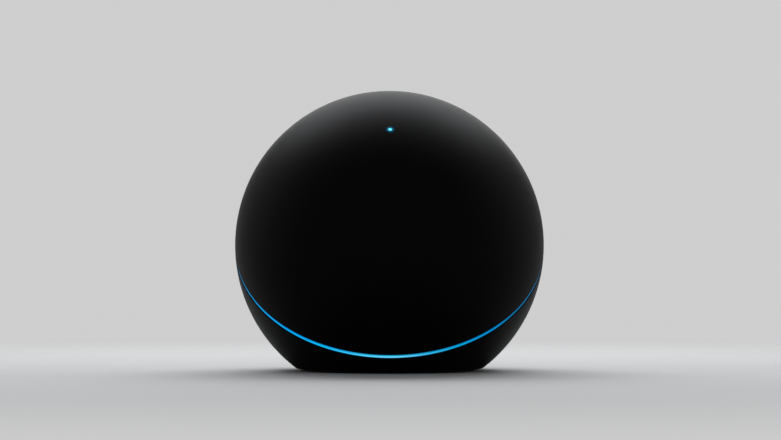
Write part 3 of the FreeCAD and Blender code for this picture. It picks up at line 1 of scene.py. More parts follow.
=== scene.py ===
import json
import math
import bmesh
import bpy
from mathutils import Matrix, Vector


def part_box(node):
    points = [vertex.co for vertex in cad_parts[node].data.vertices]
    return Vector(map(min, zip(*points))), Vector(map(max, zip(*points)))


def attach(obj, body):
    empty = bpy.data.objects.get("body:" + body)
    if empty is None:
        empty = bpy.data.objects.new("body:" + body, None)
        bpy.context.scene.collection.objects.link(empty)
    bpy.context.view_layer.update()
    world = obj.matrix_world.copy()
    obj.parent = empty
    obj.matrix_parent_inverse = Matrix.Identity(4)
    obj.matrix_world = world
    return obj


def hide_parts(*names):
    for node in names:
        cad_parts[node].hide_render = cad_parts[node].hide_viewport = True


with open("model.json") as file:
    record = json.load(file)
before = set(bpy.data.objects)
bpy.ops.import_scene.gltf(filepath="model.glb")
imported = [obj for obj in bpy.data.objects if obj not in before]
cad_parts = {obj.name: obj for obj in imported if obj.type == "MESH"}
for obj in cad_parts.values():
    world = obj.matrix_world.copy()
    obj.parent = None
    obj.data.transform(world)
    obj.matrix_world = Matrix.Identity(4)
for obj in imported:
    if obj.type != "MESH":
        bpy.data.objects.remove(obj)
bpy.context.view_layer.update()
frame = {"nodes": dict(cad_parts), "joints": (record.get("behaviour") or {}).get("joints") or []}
mm = 0.001
hair = 1e-6  # lengths closer than this count as the same
black = (0.0, 0.0, 0.0)
white = (1.0, 1.0, 1.0)

# Where things are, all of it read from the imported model
domeTurn = next(joint for joint in frame["joints"] if joint["name"] == "dome_turn")
ballCentre = Vector(domeTurn["pos_m"])
domeAxis = Vector(domeTurn["axis"]).normalized()
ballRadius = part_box("dome_shell")[1].z - ballCentre.z
panelLow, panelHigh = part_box("rear_panel")
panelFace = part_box("mains_inlet")[1].y
print("frame: ball radius", round(ballRadius / mm, 2), "mm")


def axisFrame(origin, across, axis):
    # local X is across, local Z is the axis
    return Matrix.Translation(origin) @ Matrix((across, axis.cross(across), axis)).transposed().to_4x4()


domeFrame = axisFrame(ballCentre, Vector((1, 0, 0)), domeAxis)
ringPoints = [domeFrame.inverted() @ vertex.co for vertex in frame["nodes"]["light_ring"].data.vertices]
ringHalf = max(point.z for point in ringPoints)
rearOrigin = Vector((0, panelFace, panelLow.z + (panelHigh.z - panelLow.z) / 2))
rearFrame = axisFrame(rearOrigin, Vector((-1, 0, 0)), Vector((0, 1, 0)))
tableFrame = Matrix.Identity(4)


def rearBox(node):
    # a node's box in the panel's own frame: u to the right seen from behind, v up, w outwards
    low, high = (rearFrame.inverted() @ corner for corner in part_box(node))
    return Vector(map(min, low, high)), Vector(map(max, low, high))


def rearSpan(node):
    # a node's size and middle in the panel's frame
    low, high = rearBox(node)
    return high - low, (low + high) / 2


def inMetres(look, *keys):
    # the dictionaries give lengths in millimetres
    return [look[key] * mm for key in keys]


# Shapes: skins of loops, outlines and cuts

def roundOff(corners, steps=5):
    # corners are (x, y) or (x, y, radius), and a radius rounds that corner off
    outline = []
    for number, corner in enumerate(corners):
        here = Vector(corner[:2])
        if len(corner) == 2:
            outline.append(tuple(here))
            continue
        before = Vector(corners[number - 1][:2]) - here
        after = Vector(corners[(number + 1) % len(corners)][:2]) - here
        half = before.angle(after) / 2
        reach = min(corner[2] / math.tan(half), 0.49 * before.length, 0.49 * after.length)
        radius = reach * math.tan(half)
        middle = here + (before.normalized() + after.normalized()).normalized() * radius / math.sin(half)
        first = here + before.normalized() * reach - middle
        last = here + after.normalized() * reach - middle
        for step in range(steps + 1):
            turn = first.slerp(last, step / steps).normalized() * radius
            outline.append(tuple(middle + turn))
    return outline


def skin(loops, wrap=False, caps=True):
    # faces between loops of the same length, closed by caps or back to the first loop
    count = len(loops[0])
    points = [point for loop in loops for point in loop]
    faces = []
    for step in range(len(loops) if wrap else len(loops) - 1):
        low, high = step * count, (step + 1) % len(loops) * count
        for number in range(count):
            after = (number + 1) % count
            faces.append((low + number, low + after, high + after, high + number))
    if caps and not wrap:
        faces.append(tuple(reversed(range(count))))
        faces.append(tuple(range(len(points) - count, len(points))))
    return points, faces


def ringOf(radius, height, steps, at=(0, 0), bulge=None):
    # one turn of points; bulge moves each in or out by its radius, height and angle
    ring = []
    for number in range(steps):
        angle = 2 * math.pi * number / steps
        reach = radius + (bulge(radius, height, angle) if bulge else 0)
        ring.append((at[0] + reach * math.cos(angle), at[1] + reach * math.sin(angle), height))
    return ring


def turned(outline, steps, bulge=None, at=(0, 0)):
    # an outline of (radius, height) turned about the Z axis; on the axis it ends in a pole
    poles = outline[0][0] < hair and outline[-1][0] < hair
    loops = [ringOf(radius, height, steps, at, bulge)
             for radius, height in (outline[1:-1] if poles else outline)]
    points, faces = skin(loops, wrap=not poles, caps=False)
    if poles:
        ends = ((outline[0][1], 0, 1), (outline[-1][1], len(points) - steps, -1))
        for height, start, way in ends:
            points.append((at[0], at[1], height))
            for number in range(steps):
                pair = (start + (number + 1) % steps, start + number)[::way]
                faces.append((*pair, len(points) - 1))
    return points, faces


def cylinder(radius, low, high, at, steps=40):
    return turned([(0, low), (radius, low), (radius, high), (0, high)], steps, at=at)


def roundBox(width, tall, corner, steps=8, sides=1):
    # a closed loop of a rectangle with round corners; sides splits its straight runs
    across, along = width / 2 - corner, tall / 2 - corner
    corners = ((1, 1), (-1, 1), (-1, -1), (1, -1))

    def cornerPoint(way, turn):
        return Vector((way[0] * across + corner * math.cos(turn), way[1] * along + corner * math.sin(turn)))

    loop = []
    for number, (here, after) in enumerate(zip(corners, corners[1:] + corners[:1])):
        turns = [math.pi / 2 * (number + step / steps) for step in range(steps + 1)]
        loop += [cornerPoint(here, turn) for turn in turns]
        start, stop = loop[-1], cornerPoint(after, turns[-1])
        loop += [start.lerp(stop, step / sides) for step in range(1, sides)]
    return loop


def softSteps(low, high, soft, steps=3):
    # pairs of inset and height that run round the lower and the upper edge of a block
    quarter = [math.pi / 2 * step / steps for step in range(steps + 1)]
    under = [(soft * (1 - math.sin(turn)), low + soft * (1 - math.cos(turn))) for turn in quarter]
    over = [(soft * (1 - math.cos(turn)), high - soft * (1 - math.sin(turn))) for turn in quarter]
    return under + over


def softBox(width, tall, corner, low, high, soft, at=(0, 0), steps=6):
    # an upright block with round corners and softened edges
    smallest = 0.01 * mm
    loops = []
    for inset, height in softSteps(low, high, soft):
        loop = roundBox(width - 2 * inset, tall - 2 * inset, max(corner - inset, smallest), steps)
        loops.append([(at[0] + point.x, at[1] + point.y, height) for point in loop])
    return skin(loops)


def flared(loopAt, bottom, top, flare, at=(0, 0)):
    # a cutter with straight walls that widens by flare over the last bit below top
    steps = ((0, bottom), (0, top - flare), (flare, top), (flare, top + flare))
    return skin([[(at[0] + point[0], at[1] + point[1], height) for point in loopAt(grow)]
                 for grow, height in steps])


def settle(mesh, sharp):
    # faces look outwards, and edges sharper than that many degrees stay crisp
    work = bmesh.new()
    work.from_mesh(mesh)
    bmesh.ops.recalc_face_normals(work, faces=work.faces)
    work.to_mesh(mesh)
    work.free()
    mesh.shade_smooth()
    mesh.set_sharp_from_angle(angle=math.radians(sharp))
    return mesh


def toMesh(name, parts, place=tableFrame, sharp=32):
    points, faces = [], []
    for morePoints, moreFaces in parts:
        faces += [tuple(number + len(points) for number in face) for face in moreFaces]
        points += morePoints
    mesh = bpy.data.meshes.new(name)
    mesh.from_pydata([place @ Vector(point) for point in points], [], faces)
    return settle(mesh, sharp)


def addThing(name, data):
    thing = bpy.data.objects.new(name, data)
    bpy.context.scene.collection.objects.link(thing)
    return thing


def carve(mesh, cuts, joins=(), sharp=32):
    # joins are added to the mesh and cuts are taken out of it, each a pair of skins and their frame
    thing = addThing(mesh.name, mesh)
    tools = []
    for kind, group in (("UNION", joins), ("DIFFERENCE", cuts)):
        for parts, place in group:
            tools.append(addThing("tool", toMesh("tool", parts, place)))
            step = thing.modifiers.new(kind.lower(), "BOOLEAN")
            step.operation, step.solver, step.object = kind, "EXACT", tools[-1]
    seen = thing.evaluated_get(bpy.context.evaluated_depsgraph_get())
    result = bpy.data.meshes.new_from_object(seen)
    for spare in (thing, *tools):
        used = spare.data
        bpy.data.objects.remove(spare)
        bpy.data.meshes.remove(used)
    return settle(result, sharp)


def addPiece(name, mesh, body, slot, *nodes):
    thing = addThing(name, mesh)
    mesh.name = name
    mesh.materials.clear()
    mesh.materials.append(finish[slot])
    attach(thing, body)
    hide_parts(*nodes)


# Shader nodes

def feed(tree, socket, value):
    # links another node's socket, or sets a plain value
    if isinstance(value, bpy.types.NodeSocket):
        tree.links.new(value, socket)
    else:
        socket.default_value = value


def addNode(tree, kind, inputs=None, **settings):
    node = tree.nodes.new("ShaderNode" + kind)
    for name, value in settings.items():
        setattr(node, name, value)
    for socket, value in (inputs or {}).items():
        feed(tree, node.inputs[socket], value)
    return node


def useGroup(tree, name, **values):
    return addNode(tree, "Group", values, node_tree=bpy.data.node_groups[name]).outputs


def calc(tree, operation, *values):
    # more than two values are worked through from left to right
    result = addNode(tree, "Math", dict(enumerate(values[:2])), operation=operation).outputs[0]
    return calc(tree, operation, result, *values[2:]) if len(values) > 2 else result


def spread(tree, value, onto=(0.0, 1.0), within=(0.0, 1.0), smooth=False):
    # what the value does within one range is spread over another
    return addNode(tree, "MapRange", {0: value, 1: within[0], 2: within[1], 3: onto[0], 4: onto[1]},
                   interpolation_type="SMOOTHSTEP" if smooth else "LINEAR").outputs[0]


def asColour(value):
    return value if isinstance(value, bpy.types.NodeSocket) else (*value, 1.0)


def blendColours(tree, factor, first, second, mode="MIX"):
    inputs = {0: factor, 6: asColour(first), 7: asColour(second)}
    return addNode(tree, "Mix", inputs, data_type="RGBA", blend_type=mode).outputs[2]


def colourRamp(tree, value, stops):
    # colours at their places from 0 to 1, blended between
    ramp = addNode(tree, "ValToRGB", {0: value})
    band = ramp.color_ramp
    for place, colour in stops[1:-1]:
        band.elements.new(place).color = asColour(colour)
    band.elements[0].color = asColour(stops[0][1])
    band.elements[-1].color = asColour(stops[-1][1])
    return ramp.outputs[0]


def localPoint(tree):
    return addNode(tree, "TexCoord").outputs["Object"]


def pointIn(tree, place):
    # coordinates measured in another frame, such as the dome's tilted one
    inverse = place.inverted()
    return addNode(tree, "Mapping", {"Vector": localPoint(tree), "Location": inverse.to_translation(),
                                     "Rotation": inverse.to_euler()}).outputs[0]


def split(tree, point):
    return addNode(tree, "SeparateXYZ", {0: point}).outputs


def fromAxis(tree, point):
    # distance from the Z axis
    parts = split(tree, point)
    squares = [calc(tree, "MULTIPLY", parts[axis], parts[axis]) for axis in (0, 1)]
    return calc(tree, "SQRT", calc(tree, "ADD", *squares))


def noiseOf(tree, density, detail, point=None, **more):
    place = localPoint(tree) if point is None else point
    inputs = {"Vector": place, "Scale": density, "Detail": detail, **more}
    return addNode(tree, "TexNoise", inputs).outputs[0]


# Effects that several finishes share; sizes are in millimetres

socketKinds = {"Vector": "NodeSocketVector", "Colour": "NodeSocketColor"}


def addEffect(build, inputs, outputs):
    # build gets the group's tree and what goes in, and returns a list of what comes out
    tree = bpy.data.node_groups.new(build.__name__, "ShaderNodeTree")
    for label, value in inputs.items():
        kind = socketKinds.get(label, "NodeSocketFloat")
        socket = tree.interface.new_socket(label, in_out="INPUT", socket_type=kind)
        if value is not None:
            socket.default_value = value
    for label in outputs:
        kind = socketKinds.get(label, "NodeSocketFloat")
        tree.interface.new_socket(label, in_out="OUTPUT", socket_type=kind)
    given = tree.nodes.new("NodeGroupInput").outputs
    result = tree.nodes.new("NodeGroupOutput").inputs
    for label, value in zip(outputs, build(tree, given)):
        tree.links.new(value, result[label])


def perMetre(tree, size):
    return calc(tree, "DIVIDE", 1 / mm, size)


def eitherSide(tree, middle, amount):
    return calc(tree, "SUBTRACT", middle, amount), calc(tree, "ADD", middle, amount)


def fineGrain(tree, given):
    noise = noiseOf(tree, perMetre(tree, given["Size"]), 3.0, Roughness=0.62)
    return [noise, spread(tree, noise, within=eitherSide(tree, 0.5, given["Contrast"]))]


def tintDrift(tree, given):
    noise = noiseOf(tree, perMetre(tree, given["Size"]), 2.0)
    factor = spread(tree, noise, eitherSide(tree, 1.0, given["Amount"]), (0.3, 0.7))
    scaled = addNode(tree, "VectorMath", {0: given["Colour"], "Scale": factor}, operation="SCALE")
    return [scaled.outputs[0]]


edgeWear = {"starts": 0.03, "full": 0.3, "chipDensity": 1400.0, "leastChipped": 0.15}


def wornEdge(tree, given):
    # where a rounded normal leaves the flat one there is an edge, and its wear is broken up
    radius = calc(tree, "MULTIPLY", given["Reach"], mm)
    rounded = addNode(tree, "Bevel", {"Radius": radius}, samples=4).outputs[0]
    flat = addNode(tree, "NewGeometry").outputs["Normal"]
    agree = addNode(tree, "VectorMath", {0: rounded, 1: flat}, operation="DOT_PRODUCT").outputs["Value"]
    edge = spread(tree, calc(tree, "SUBTRACT", 1.0, agree), within=(edgeWear["starts"], edgeWear["full"]),
                  smooth=True)
    chips = noiseOf(tree, edgeWear["chipDensity"], 3.0)
    patchy = spread(tree, chips, (edgeWear["leastChipped"], 1.0), (0.35, 0.65))
    return [calc(tree, "MULTIPLY", edge, patchy, given["Amount"])]


def settledDust(tree, given):
    # specks on faces that look up
    up = split(tree, addNode(tree, "NewGeometry").outputs["Normal"])["Z"]
    lying = spread(tree, up, within=(0.1, 1.0), smooth=True)
    noise = noiseOf(tree, perMetre(tree, given["Size"]), 5.0, Roughness=0.7)
    specks = spread(tree, noise, within=(0.42, 0.72))
    return [calc(tree, "MULTIPLY", lying, specks, given["Amount"])]


def sparkTexture(tree, given):
    density = perMetre(tree, given["Size"])
    pits = addNode(tree, "TexVoronoi", {"Vector": localPoint(tree), "Scale": density}, feature="SMOOTH_F1")
    uneven = calc(tree, "MULTIPLY", noiseOf(tree, density, 2.0), 0.6)
    return [calc(tree, "ADD", pits.outputs["Distance"], uneven)]


def latheRings(tree, given):
    # fine turned grooves that run on from the flat faces to the round ones
    travel = calc(tree, "ADD", fromAxis(tree, given["Vector"]), split(tree, given["Vector"])[2])
    turns = calc(tree, "DIVIDE", calc(tree, "MULTIPLY", travel, 1 / mm), given["Pitch"])
    uneven = addNode(tree, "TexNoise", {"W": turns, "Scale": 1.0, "Detail": 2.0},
                     noise_dimensions="1D").outputs[0]
    wave = calc(tree, "SINE", calc(tree, "MULTIPLY", turns, 2 * math.pi))
    return [calc(tree, "ADD", calc(tree, "MULTIPLY", wave, 0.25), uneven), uneven]


def brushedLines(tree, given):
    stretched = addNode(tree, "Mapping", {"Vector": given["Vector"], "Scale": (1.0, 1.0, 0.03)}).outputs[0]
    noise = noiseOf(tree, given["Density"], 2.0, stretched)
    return [noise, spread(tree, noise, within=(0.3, 0.7))]


boardTracks = {"fieldDensity": 0.13, "bareShare": 0.3, "halfWidth": (0.16, 0.2), "padDensity": 0.35,
               "padRadius": (0.11, 0.14), "padRise": 1.5}


def printedBoard(tree, given):
    # fields of parallel tracks, some along X, some along Y and some bare, with round pads between
    look = boardTracks
    density = perMetre(tree, given["Pitch"])
    flat = addNode(tree, "Mapping", {"Vector": given["Vector"], "Scale": (1.0, 1.0, 0.0)}).outputs[0]
    fieldDensity = calc(tree, "MULTIPLY", density, look["fieldDensity"])
    field = addNode(tree, "TexVoronoi", {"Vector": flat, "Scale": fieldDensity, "Randomness": 0.8},
                    distance="CHEBYCHEV")
    choice = addNode(tree, "SeparateColor", {0: field.outputs["Color"]}).outputs
    parts = split(tree, flat)
    tracks = []
    for axis in (0, 1):
        share = calc(tree, "FRACT", calc(tree, "MULTIPLY", parts[axis], density))
        off = calc(tree, "ABSOLUTE", calc(tree, "SUBTRACT", share, 0.5))
        tracks.append(spread(tree, off, (1.0, 0.0), look["halfWidth"]))
    turnedOver = calc(tree, "GREATER_THAN", choice[0], 0.5)
    fromX = calc(tree, "MULTIPLY", tracks[0], turnedOver)
    fromY = calc(tree, "MULTIPLY", tracks[1], calc(tree, "SUBTRACT", 1.0, turnedOver))
    used = calc(tree, "GREATER_THAN", choice[1], look["bareShare"])
    trace = calc(tree, "MULTIPLY", calc(tree, "ADD", fromX, fromY), used)
    padDensity = calc(tree, "MULTIPLY", density, look["padDensity"])
    dots = addNode(tree, "TexVoronoi", {"Vector": flat, "Scale": padDensity, "Randomness": 0.55})
    pad = spread(tree, dots.outputs["Distance"], (1.0, 0.0), look["padRadius"])
    return [trace, pad, calc(tree, "ADD", trace, calc(tree, "MULTIPLY", pad, look["padRise"]))]


def woundWire(tree, given):
    turns = calc(tree, "DIVIDE", given["Travel"], given["Pitch"])
    wave = calc(tree, "ABSOLUTE", calc(tree, "SINE", calc(tree, "MULTIPLY", turns, math.pi)))
    uneven = addNode(tree, "TexNoise", {"W": turns, "Scale": 0.7}, noise_dimensions="1D").outputs[0]
    return [calc(tree, "POWER", wave, 0.5), calc(tree, "MULTIPLY", wave, uneven)]


def touchMarks(tree, given):
    # soft patches, crossed by fine wiped streaks
    density = perMetre(tree, given["Size"])
    patches = noiseOf(tree, density, 1.5, Distortion=0.8)
    wiped = addNode(tree, "Mapping", {"Vector": localPoint(tree), "Rotation": (0.4, 0.2, 0.9),
                                      "Scale": (1.0, 0.12, 1.0)}).outputs[0]
    streaks = noiseOf(tree, calc(tree, "MULTIPLY", density, 5.0), 3.0, wiped)
    soft = spread(tree, patches, within=(0.4, 0.68), smooth=True)
    fine = spread(tree, streaks, (0.3, 1.0), (0.35, 0.7))
    return [calc(tree, "MULTIPLY", soft, fine, given["Amount"])]


addEffect(fineGrain, {"Size": 0.3, "Contrast": 0.2}, ["Height", "Mask"])
addEffect(tintDrift, {"Colour": None, "Amount": 0.1, "Size": 8.0}, ["Colour"])
addEffect(wornEdge, {"Reach": 0.2, "Amount": 0.5}, ["Mask"])
addEffect(settledDust, {"Amount": 0.1, "Size": 1.2}, ["Mask"])
addEffect(sparkTexture, {"Size": 0.35}, ["Height"])
addEffect(latheRings, {"Vector": None, "Pitch": 0.3}, ["Height", "Mask"])
addEffect(brushedLines, {"Vector": None, "Density": 4000.0}, ["Height", "Mask"])
addEffect(printedBoard, {"Vector": None, "Pitch": 1.0}, ["Trace", "Pad", "Height"])
addEffect(woundWire, {"Travel": 0.0, "Pitch": 0.5}, ["Height", "Mask"])
addEffect(touchMarks, {"Size": 14.0, "Amount": 0.5}, ["Mask"])
print("effects:", len(bpy.data.node_groups))


# Finishes

finish = {}
dustColour = (0.20, 0.195, 0.19)


def newFinish(slot, **plain):
    # plain values go on the shader's own sockets, with _ for a space in a socket's name
    material = bpy.data.materials.new(slot)
    material.use_nodes = True
    tree = material.node_tree
    tree.nodes.clear()
    values = {name.replace("_", " "): value for name, value in plain.items()}
    shader = addNode(tree, "BsdfPrincipled", values)
    addNode(tree, "OutputMaterial", {"Surface": shader.outputs[0]})
    finish[slot] = material
    return tree, shader.inputs


def dress(tree, sockets, colour, rough, relief=None, depth=0.0):
    # depth is the relief's height in millimetres
    tree.links.new(colour, sockets["Base Color"])
    tree.links.new(rough, sockets["Roughness"])
    if relief is not None:
        bump = addNode(tree, "Bump", {"Height": relief, "Distance": depth * mm})
        tree.links.new(bump.outputs[0], sockets["Normal"])


def maskOf(tree, effect, **values):
    return useGroup(tree, effect, **values)["Mask"]


def drifting(tree, colour, drift):
    # drift is how far the tone wanders, and over how many millimetres
    amount, size = drift
    return useGroup(tree, "tintDrift", Colour=asColour(colour), Amount=amount, Size=size)["Colour"]


def changed(colour, gain, lift=0.0):
    return [min(1.0, lift + part * gain) for part in colour]


softTouch = {
    "colour": (0.0011, 0.0011, 0.0012), "marked": (0.0016, 0.0016, 0.0017), "dust": (0.12, 0.12, 0.125),
    "drift": (0.12, 7.0), "roughness": (0.48, 0.53), "markedRougher": 0.03, "specular": 0.03,
    "grain": 0.24, "depth": 0.010,
    # painted glow round the mute light's window: its colour, and its reach in millimetres
    "paintedGlow": (0.0, 0.055, 0.115), "paintedGlowReach": (1.0, 1.9),
}


def makeSoftTouch():
    look = softTouch
    tree, sockets = newFinish("soft_touch_black", Specular_IOR_Level=look["specular"], Emission_Strength=1.0)
    marks = maskOf(tree, "touchMarks", Size=16.0, Amount=0.6)
    tone = drifting(tree, blendColours(tree, marks, look["colour"], look["marked"]), look["drift"])
    dust = maskOf(tree, "settledDust", Amount=0.02, Size=0.9)
    grain = useGroup(tree, "fineGrain", Size=look["grain"], Contrast=0.22)
    rough = calc(tree, "ADD", spread(tree, grain["Mask"], look["roughness"]),
                 calc(tree, "MULTIPLY", marks, look["markedRougher"]))
    dress(tree, sockets, blendColours(tree, dust, tone, look["dust"]), rough, grain["Height"], look["depth"])
    # painted glow: the coating itself is given a little blue emission round the mute light's window, where
    # that light spills over it
    away = fromAxis(tree, pointIn(tree, domeFrame))
    paintedGlow = spread(tree, away, (1.0, 0.0), [reach * mm for reach in look["paintedGlowReach"]], True)
    tree.links.new(blendColours(tree, paintedGlow, black, look["paintedGlow"]), sockets["Emission Color"])


baseCoat = {
    "colour": (0.0012, 0.0012, 0.0013), "worn": (0.012, 0.012, 0.0125), "drift": (0.15, 11.0),
    "roughness": (0.45, 0.51), "specular": 0.03, "powder": 0.45, "grain": 0.16, "grainRise": 0.4,
    "depth": 0.014,
}


def makeBaseCoat():
    look = baseCoat
    tree, sockets = newFinish("base_coat", Specular_IOR_Level=look["specular"])
    worn = maskOf(tree, "wornEdge", Reach=0.25, Amount=0.35)
    colour = blendColours(tree, worn, drifting(tree, look["colour"], look["drift"]), look["worn"])
    powder = useGroup(tree, "sparkTexture", Size=look["powder"])["Height"]
    grain = useGroup(tree, "fineGrain", Size=look["grain"], Contrast=0.25)
    relief = calc(tree, "ADD", powder, calc(tree, "MULTIPLY", grain["Height"], look["grainRise"]))
    dress(tree, sockets, colour, spread(tree, grain["Mask"], look["roughness"]), relief, look["depth"])


seamLight = {
    "glass": (0.0, 0.02, 0.04), "edge": (0.03, 0.52, 0.64), "core": (0.30, 0.80),
    "drift": (0.2, 2.0), "roughness": (0.35, 0.5), "grain": 0.12, "depth": 0.004,
    # painted light: the blue LED glow, made brightest at the front and dimmer towards the back by place on
    # the ring
    "ledGlowAndPaintedFront": (  # from the back of the ring to its front
        (0.0, (0.0, 0.12, 0.26)), (0.42, (0.0, 0.16, 0.36)), (0.56, (0.0, 0.30, 0.62)),
        (0.72, (0.0, 0.40, 0.88)), (0.90, (0.0, 0.45, 1.0)), (0.955, (0.004, 0.55, 1.0)),
        (0.985, (0.05, 0.60, 1.0)), (1.0, (0.17, 0.70, 1.0))),
    # painted light: the glow is made brighter on the left than on the right, a side-to-side shade painted by
    # place on the ring
    "level": (  # from its left to its right
        (0.0, 0.62), (0.07, 0.62), (0.11, 0.82), (0.20, 0.95), (0.50, 1.0), (0.65, 0.78),
        (0.84, 0.60), (0.88, 0.38), (1.0, 0.34)),
}


def makeRingDiffuser():
    # the LED glow with painted light on it: brightest low at the front, deeper blue towards the back and at
    # the ring's two edges, dimmer on the right than on the left; the front-to-back and left-to-right
    # brightness is painted in by place on the ring, standing in for how the ring looks from one view
    look = seamLight
    tree, sockets = newFinish("ring_diffuser", Specular_IOR_Level=0.04, Emission_Strength=1.0)
    parts = split(tree, pointIn(tree, domeFrame))
    facing = calc(tree, "DIVIDE", parts[1], -ballRadius)
    hue = colourRamp(tree, spread(tree, facing, within=(-1.0, 1.0)), look["ledGlowAndPaintedFront"])
    rightward = calc(tree, "DIVIDE", parts[0], ballRadius)
    level = colourRamp(tree, spread(tree, rightward, within=(-1.0, 1.0)),
                       [(place, (share, share, share)) for place, share in look["level"]])
    off = calc(tree, "DIVIDE", calc(tree, "ABSOLUTE", parts[2]), ringHalf)
    across = blendColours(tree, spread(tree, off, within=look["core"], smooth=True), white, look["edge"])
    ledGlowAndPaintedFront = blendColours(tree, 1.0, blendColours(tree, 1.0, hue, level, "MULTIPLY"), across, "MULTIPLY")
    tree.links.new(ledGlowAndPaintedFront, sockets["Emission Color"])
    frost = useGroup(tree, "fineGrain", Size=look["grain"], Contrast=0.3)
    rough = spread(tree, frost["Mask"], look["roughness"])
    dress(tree, sockets, drifting(tree, look["glass"], look["drift"]), rough, frost["Height"],
          look["depth"])


muteLight = {"glass": (0.02, 0.10, 0.12), "middle": (0.15, 0.90, 1.0), "rim": (0.01, 0.50, 0.78),
             "reach": (0.3, 0.85), "drift": (0.2, 1.0), "roughness": (0.18, 0.3), "grain": 0.1}


def makeWindow():
    look = muteLight
    tree, sockets = newFinish("window_clear", Specular_IOR_Level=0.3, Emission_Strength=1.0)
    away = fromAxis(tree, pointIn(tree, domeFrame))
    outward = spread(tree, away, within=[reach * mm for reach in look["reach"]], smooth=True)
    tree.links.new(blendColours(tree, outward, look["middle"], look["rim"]), sockets["Emission Color"])
    frost = maskOf(tree, "fineGrain", Size=look["grain"], Contrast=0.3)
    dress(tree, sockets, drifting(tree, look["glass"], look["drift"]),
          spread(tree, frost, look["roughness"]))


plasticLooks = {
    "foot_rubber": {"colour": (0.010, 0.010, 0.010), "roughness": 0.80, "texture": 0.6, "depth": 0.03,
                    "dust": 0.10, "wear": 0.10},
    "panel_plastic": {"colour": (0.0052, 0.0052, 0.0054), "roughness": 0.52, "texture": 0.30,
                      "depth": 0.016, "dust": 0.10, "wear": 0.30},
    "inlet_plastic": {"colour": (0.009, 0.009, 0.009), "roughness": 0.36, "texture": 0.5,
                      "depth": 0.006, "dust": 0.08, "wear": 0.35},
    "socket_red": {"colour": (0.40, 0.010, 0.008), "roughness": 0.30, "texture": 0.7, "depth": 0.005,
                   "dust": 0.05, "wear": 0.25},
    "socket_black": {"colour": (0.009, 0.009, 0.0095), "roughness": 0.30, "texture": 0.7,
                     "depth": 0.005, "dust": 0.05, "wear": 0.35},
    "insert_black": {"colour": (0.012, 0.012, 0.012), "roughness": 0.45, "texture": 0.25,
                     "depth": 0.008, "dust": 0.05, "wear": 0.30},
    "shutter_black": {"colour": (0.016, 0.016, 0.017), "roughness": 0.42, "texture": 0.2,
                      "depth": 0.006, "dust": 0.04, "wear": 0.35},
    "cage_nylon": {"colour": (0.55, 0.52, 0.42), "roughness": 0.48, "texture": 0.4, "depth": 0.006,
                   "dust": 0.0, "wear": 0.2},
    "chip_black": {"colour": (0.016, 0.016, 0.017), "roughness": 0.55, "texture": 0.15,
                   "depth": 0.006, "dust": 0.05, "wear": 0.2},
    "cap_plastic": {"colour": (0.030, 0.030, 0.033), "roughness": 0.50, "texture": 0.4,
                    "depth": 0.012, "dust": 0.05, "wear": 0.2},
    "lead_insulation": {"colour": (0.36, 0.018, 0.014), "roughness": 0.42, "texture": 0.5,
                        "depth": 0.004, "dust": 0.05, "wear": 0.1},
    "capacitor_sleeve": {"colour": (0.014, 0.022, 0.055), "roughness": 0.28, "texture": 0.9,
                         "depth": 0.004, "dust": 0.05, "wear": 0.3},
    "fuse_ceramic": {"colour": (0.70, 0.67, 0.60), "roughness": 0.34, "texture": 0.3,
                     "depth": 0.003, "dust": 0.05, "wear": 0.2},
    "ferrite": {"colour": (0.035, 0.035, 0.037), "roughness": 0.60, "texture": 0.25, "depth": 0.012,
                "dust": 0.05, "wear": 0.5},
}


allPlastics = {"specular": 0.4, "drift": (0.14, 5.0), "edge": 0.15, "rubbed": {"gain": 1.7, "lift": 0.02},
               "dustSize": 0.8, "dustRougher": 0.3, "grainShare": 0.6, "uneven": (-0.03, 0.04)}


def makePlastic(slot, look):
    # moulded surface: fine texture, faint drift of tone, rubbed edges and a little dust
    common = allPlastics
    tree, sockets = newFinish(slot, Specular_IOR_Level=common["specular"])
    worn = maskOf(tree, "wornEdge", Reach=common["edge"], Amount=look["wear"])
    rubbed = changed(look["colour"], **common["rubbed"])
    tone = blendColours(tree, worn, drifting(tree, look["colour"], common["drift"]), rubbed)
    dust = maskOf(tree, "settledDust", Amount=look["dust"], Size=common["dustSize"])
    grain = maskOf(tree, "fineGrain", Size=look["texture"] * common["grainShare"], Contrast=0.25)
    rough = calc(tree, "ADD", spread(tree, grain, [look["roughness"] + part for part in common["uneven"]]),
                 calc(tree, "MULTIPLY", dust, common["dustRougher"]))
    texture = useGroup(tree, "sparkTexture", Size=look["texture"])["Height"]
    dress(tree, sockets, blendColours(tree, dust, tone, dustColour), rough, texture, look["depth"])


metalLooks = {
    "bare_aluminium": {"colour": (0.68, 0.69, 0.70), "roughness": 0.36, "rings": 0.35, "depth": 0.006},
    "bearing_steel": {"colour": (0.58, 0.58, 0.59), "roughness": 0.16, "rings": 0.10, "depth": 0.001},
    "black_anodised": {"colour": (0.022, 0.022, 0.024), "roughness": 0.38, "lines": 3500.0,
                       "depth": 0.003},
    "screw_steel": {"colour": (0.52, 0.52, 0.51), "roughness": 0.30, "lines": 5000.0, "depth": 0.002},
    "black_screw": {"colour": (0.018, 0.018, 0.019), "roughness": 0.36, "lines": 4200.0,
                    "depth": 0.003},
    "electrode_copper": {"colour": (0.70, 0.33, 0.17), "roughness": 0.34, "lines": 2600.0,
                         "depth": 0.002},
    "shield_tin": {"colour": (0.55, 0.55, 0.53), "roughness": 0.36, "lines": 2400.0, "depth": 0.003},
    "pin_brass": {"colour": (0.66, 0.60, 0.46), "roughness": 0.22, "lines": 5200.0, "depth": 0.001},
    "contact_gold": {"colour": (0.80, 0.56, 0.22), "roughness": 0.20, "lines": 5200.0,
                     "depth": 0.001},
    "shield_nickel": {"colour": (0.52, 0.50, 0.46), "roughness": 0.28, "lines": 3800.0,
                      "depth": 0.002},
}


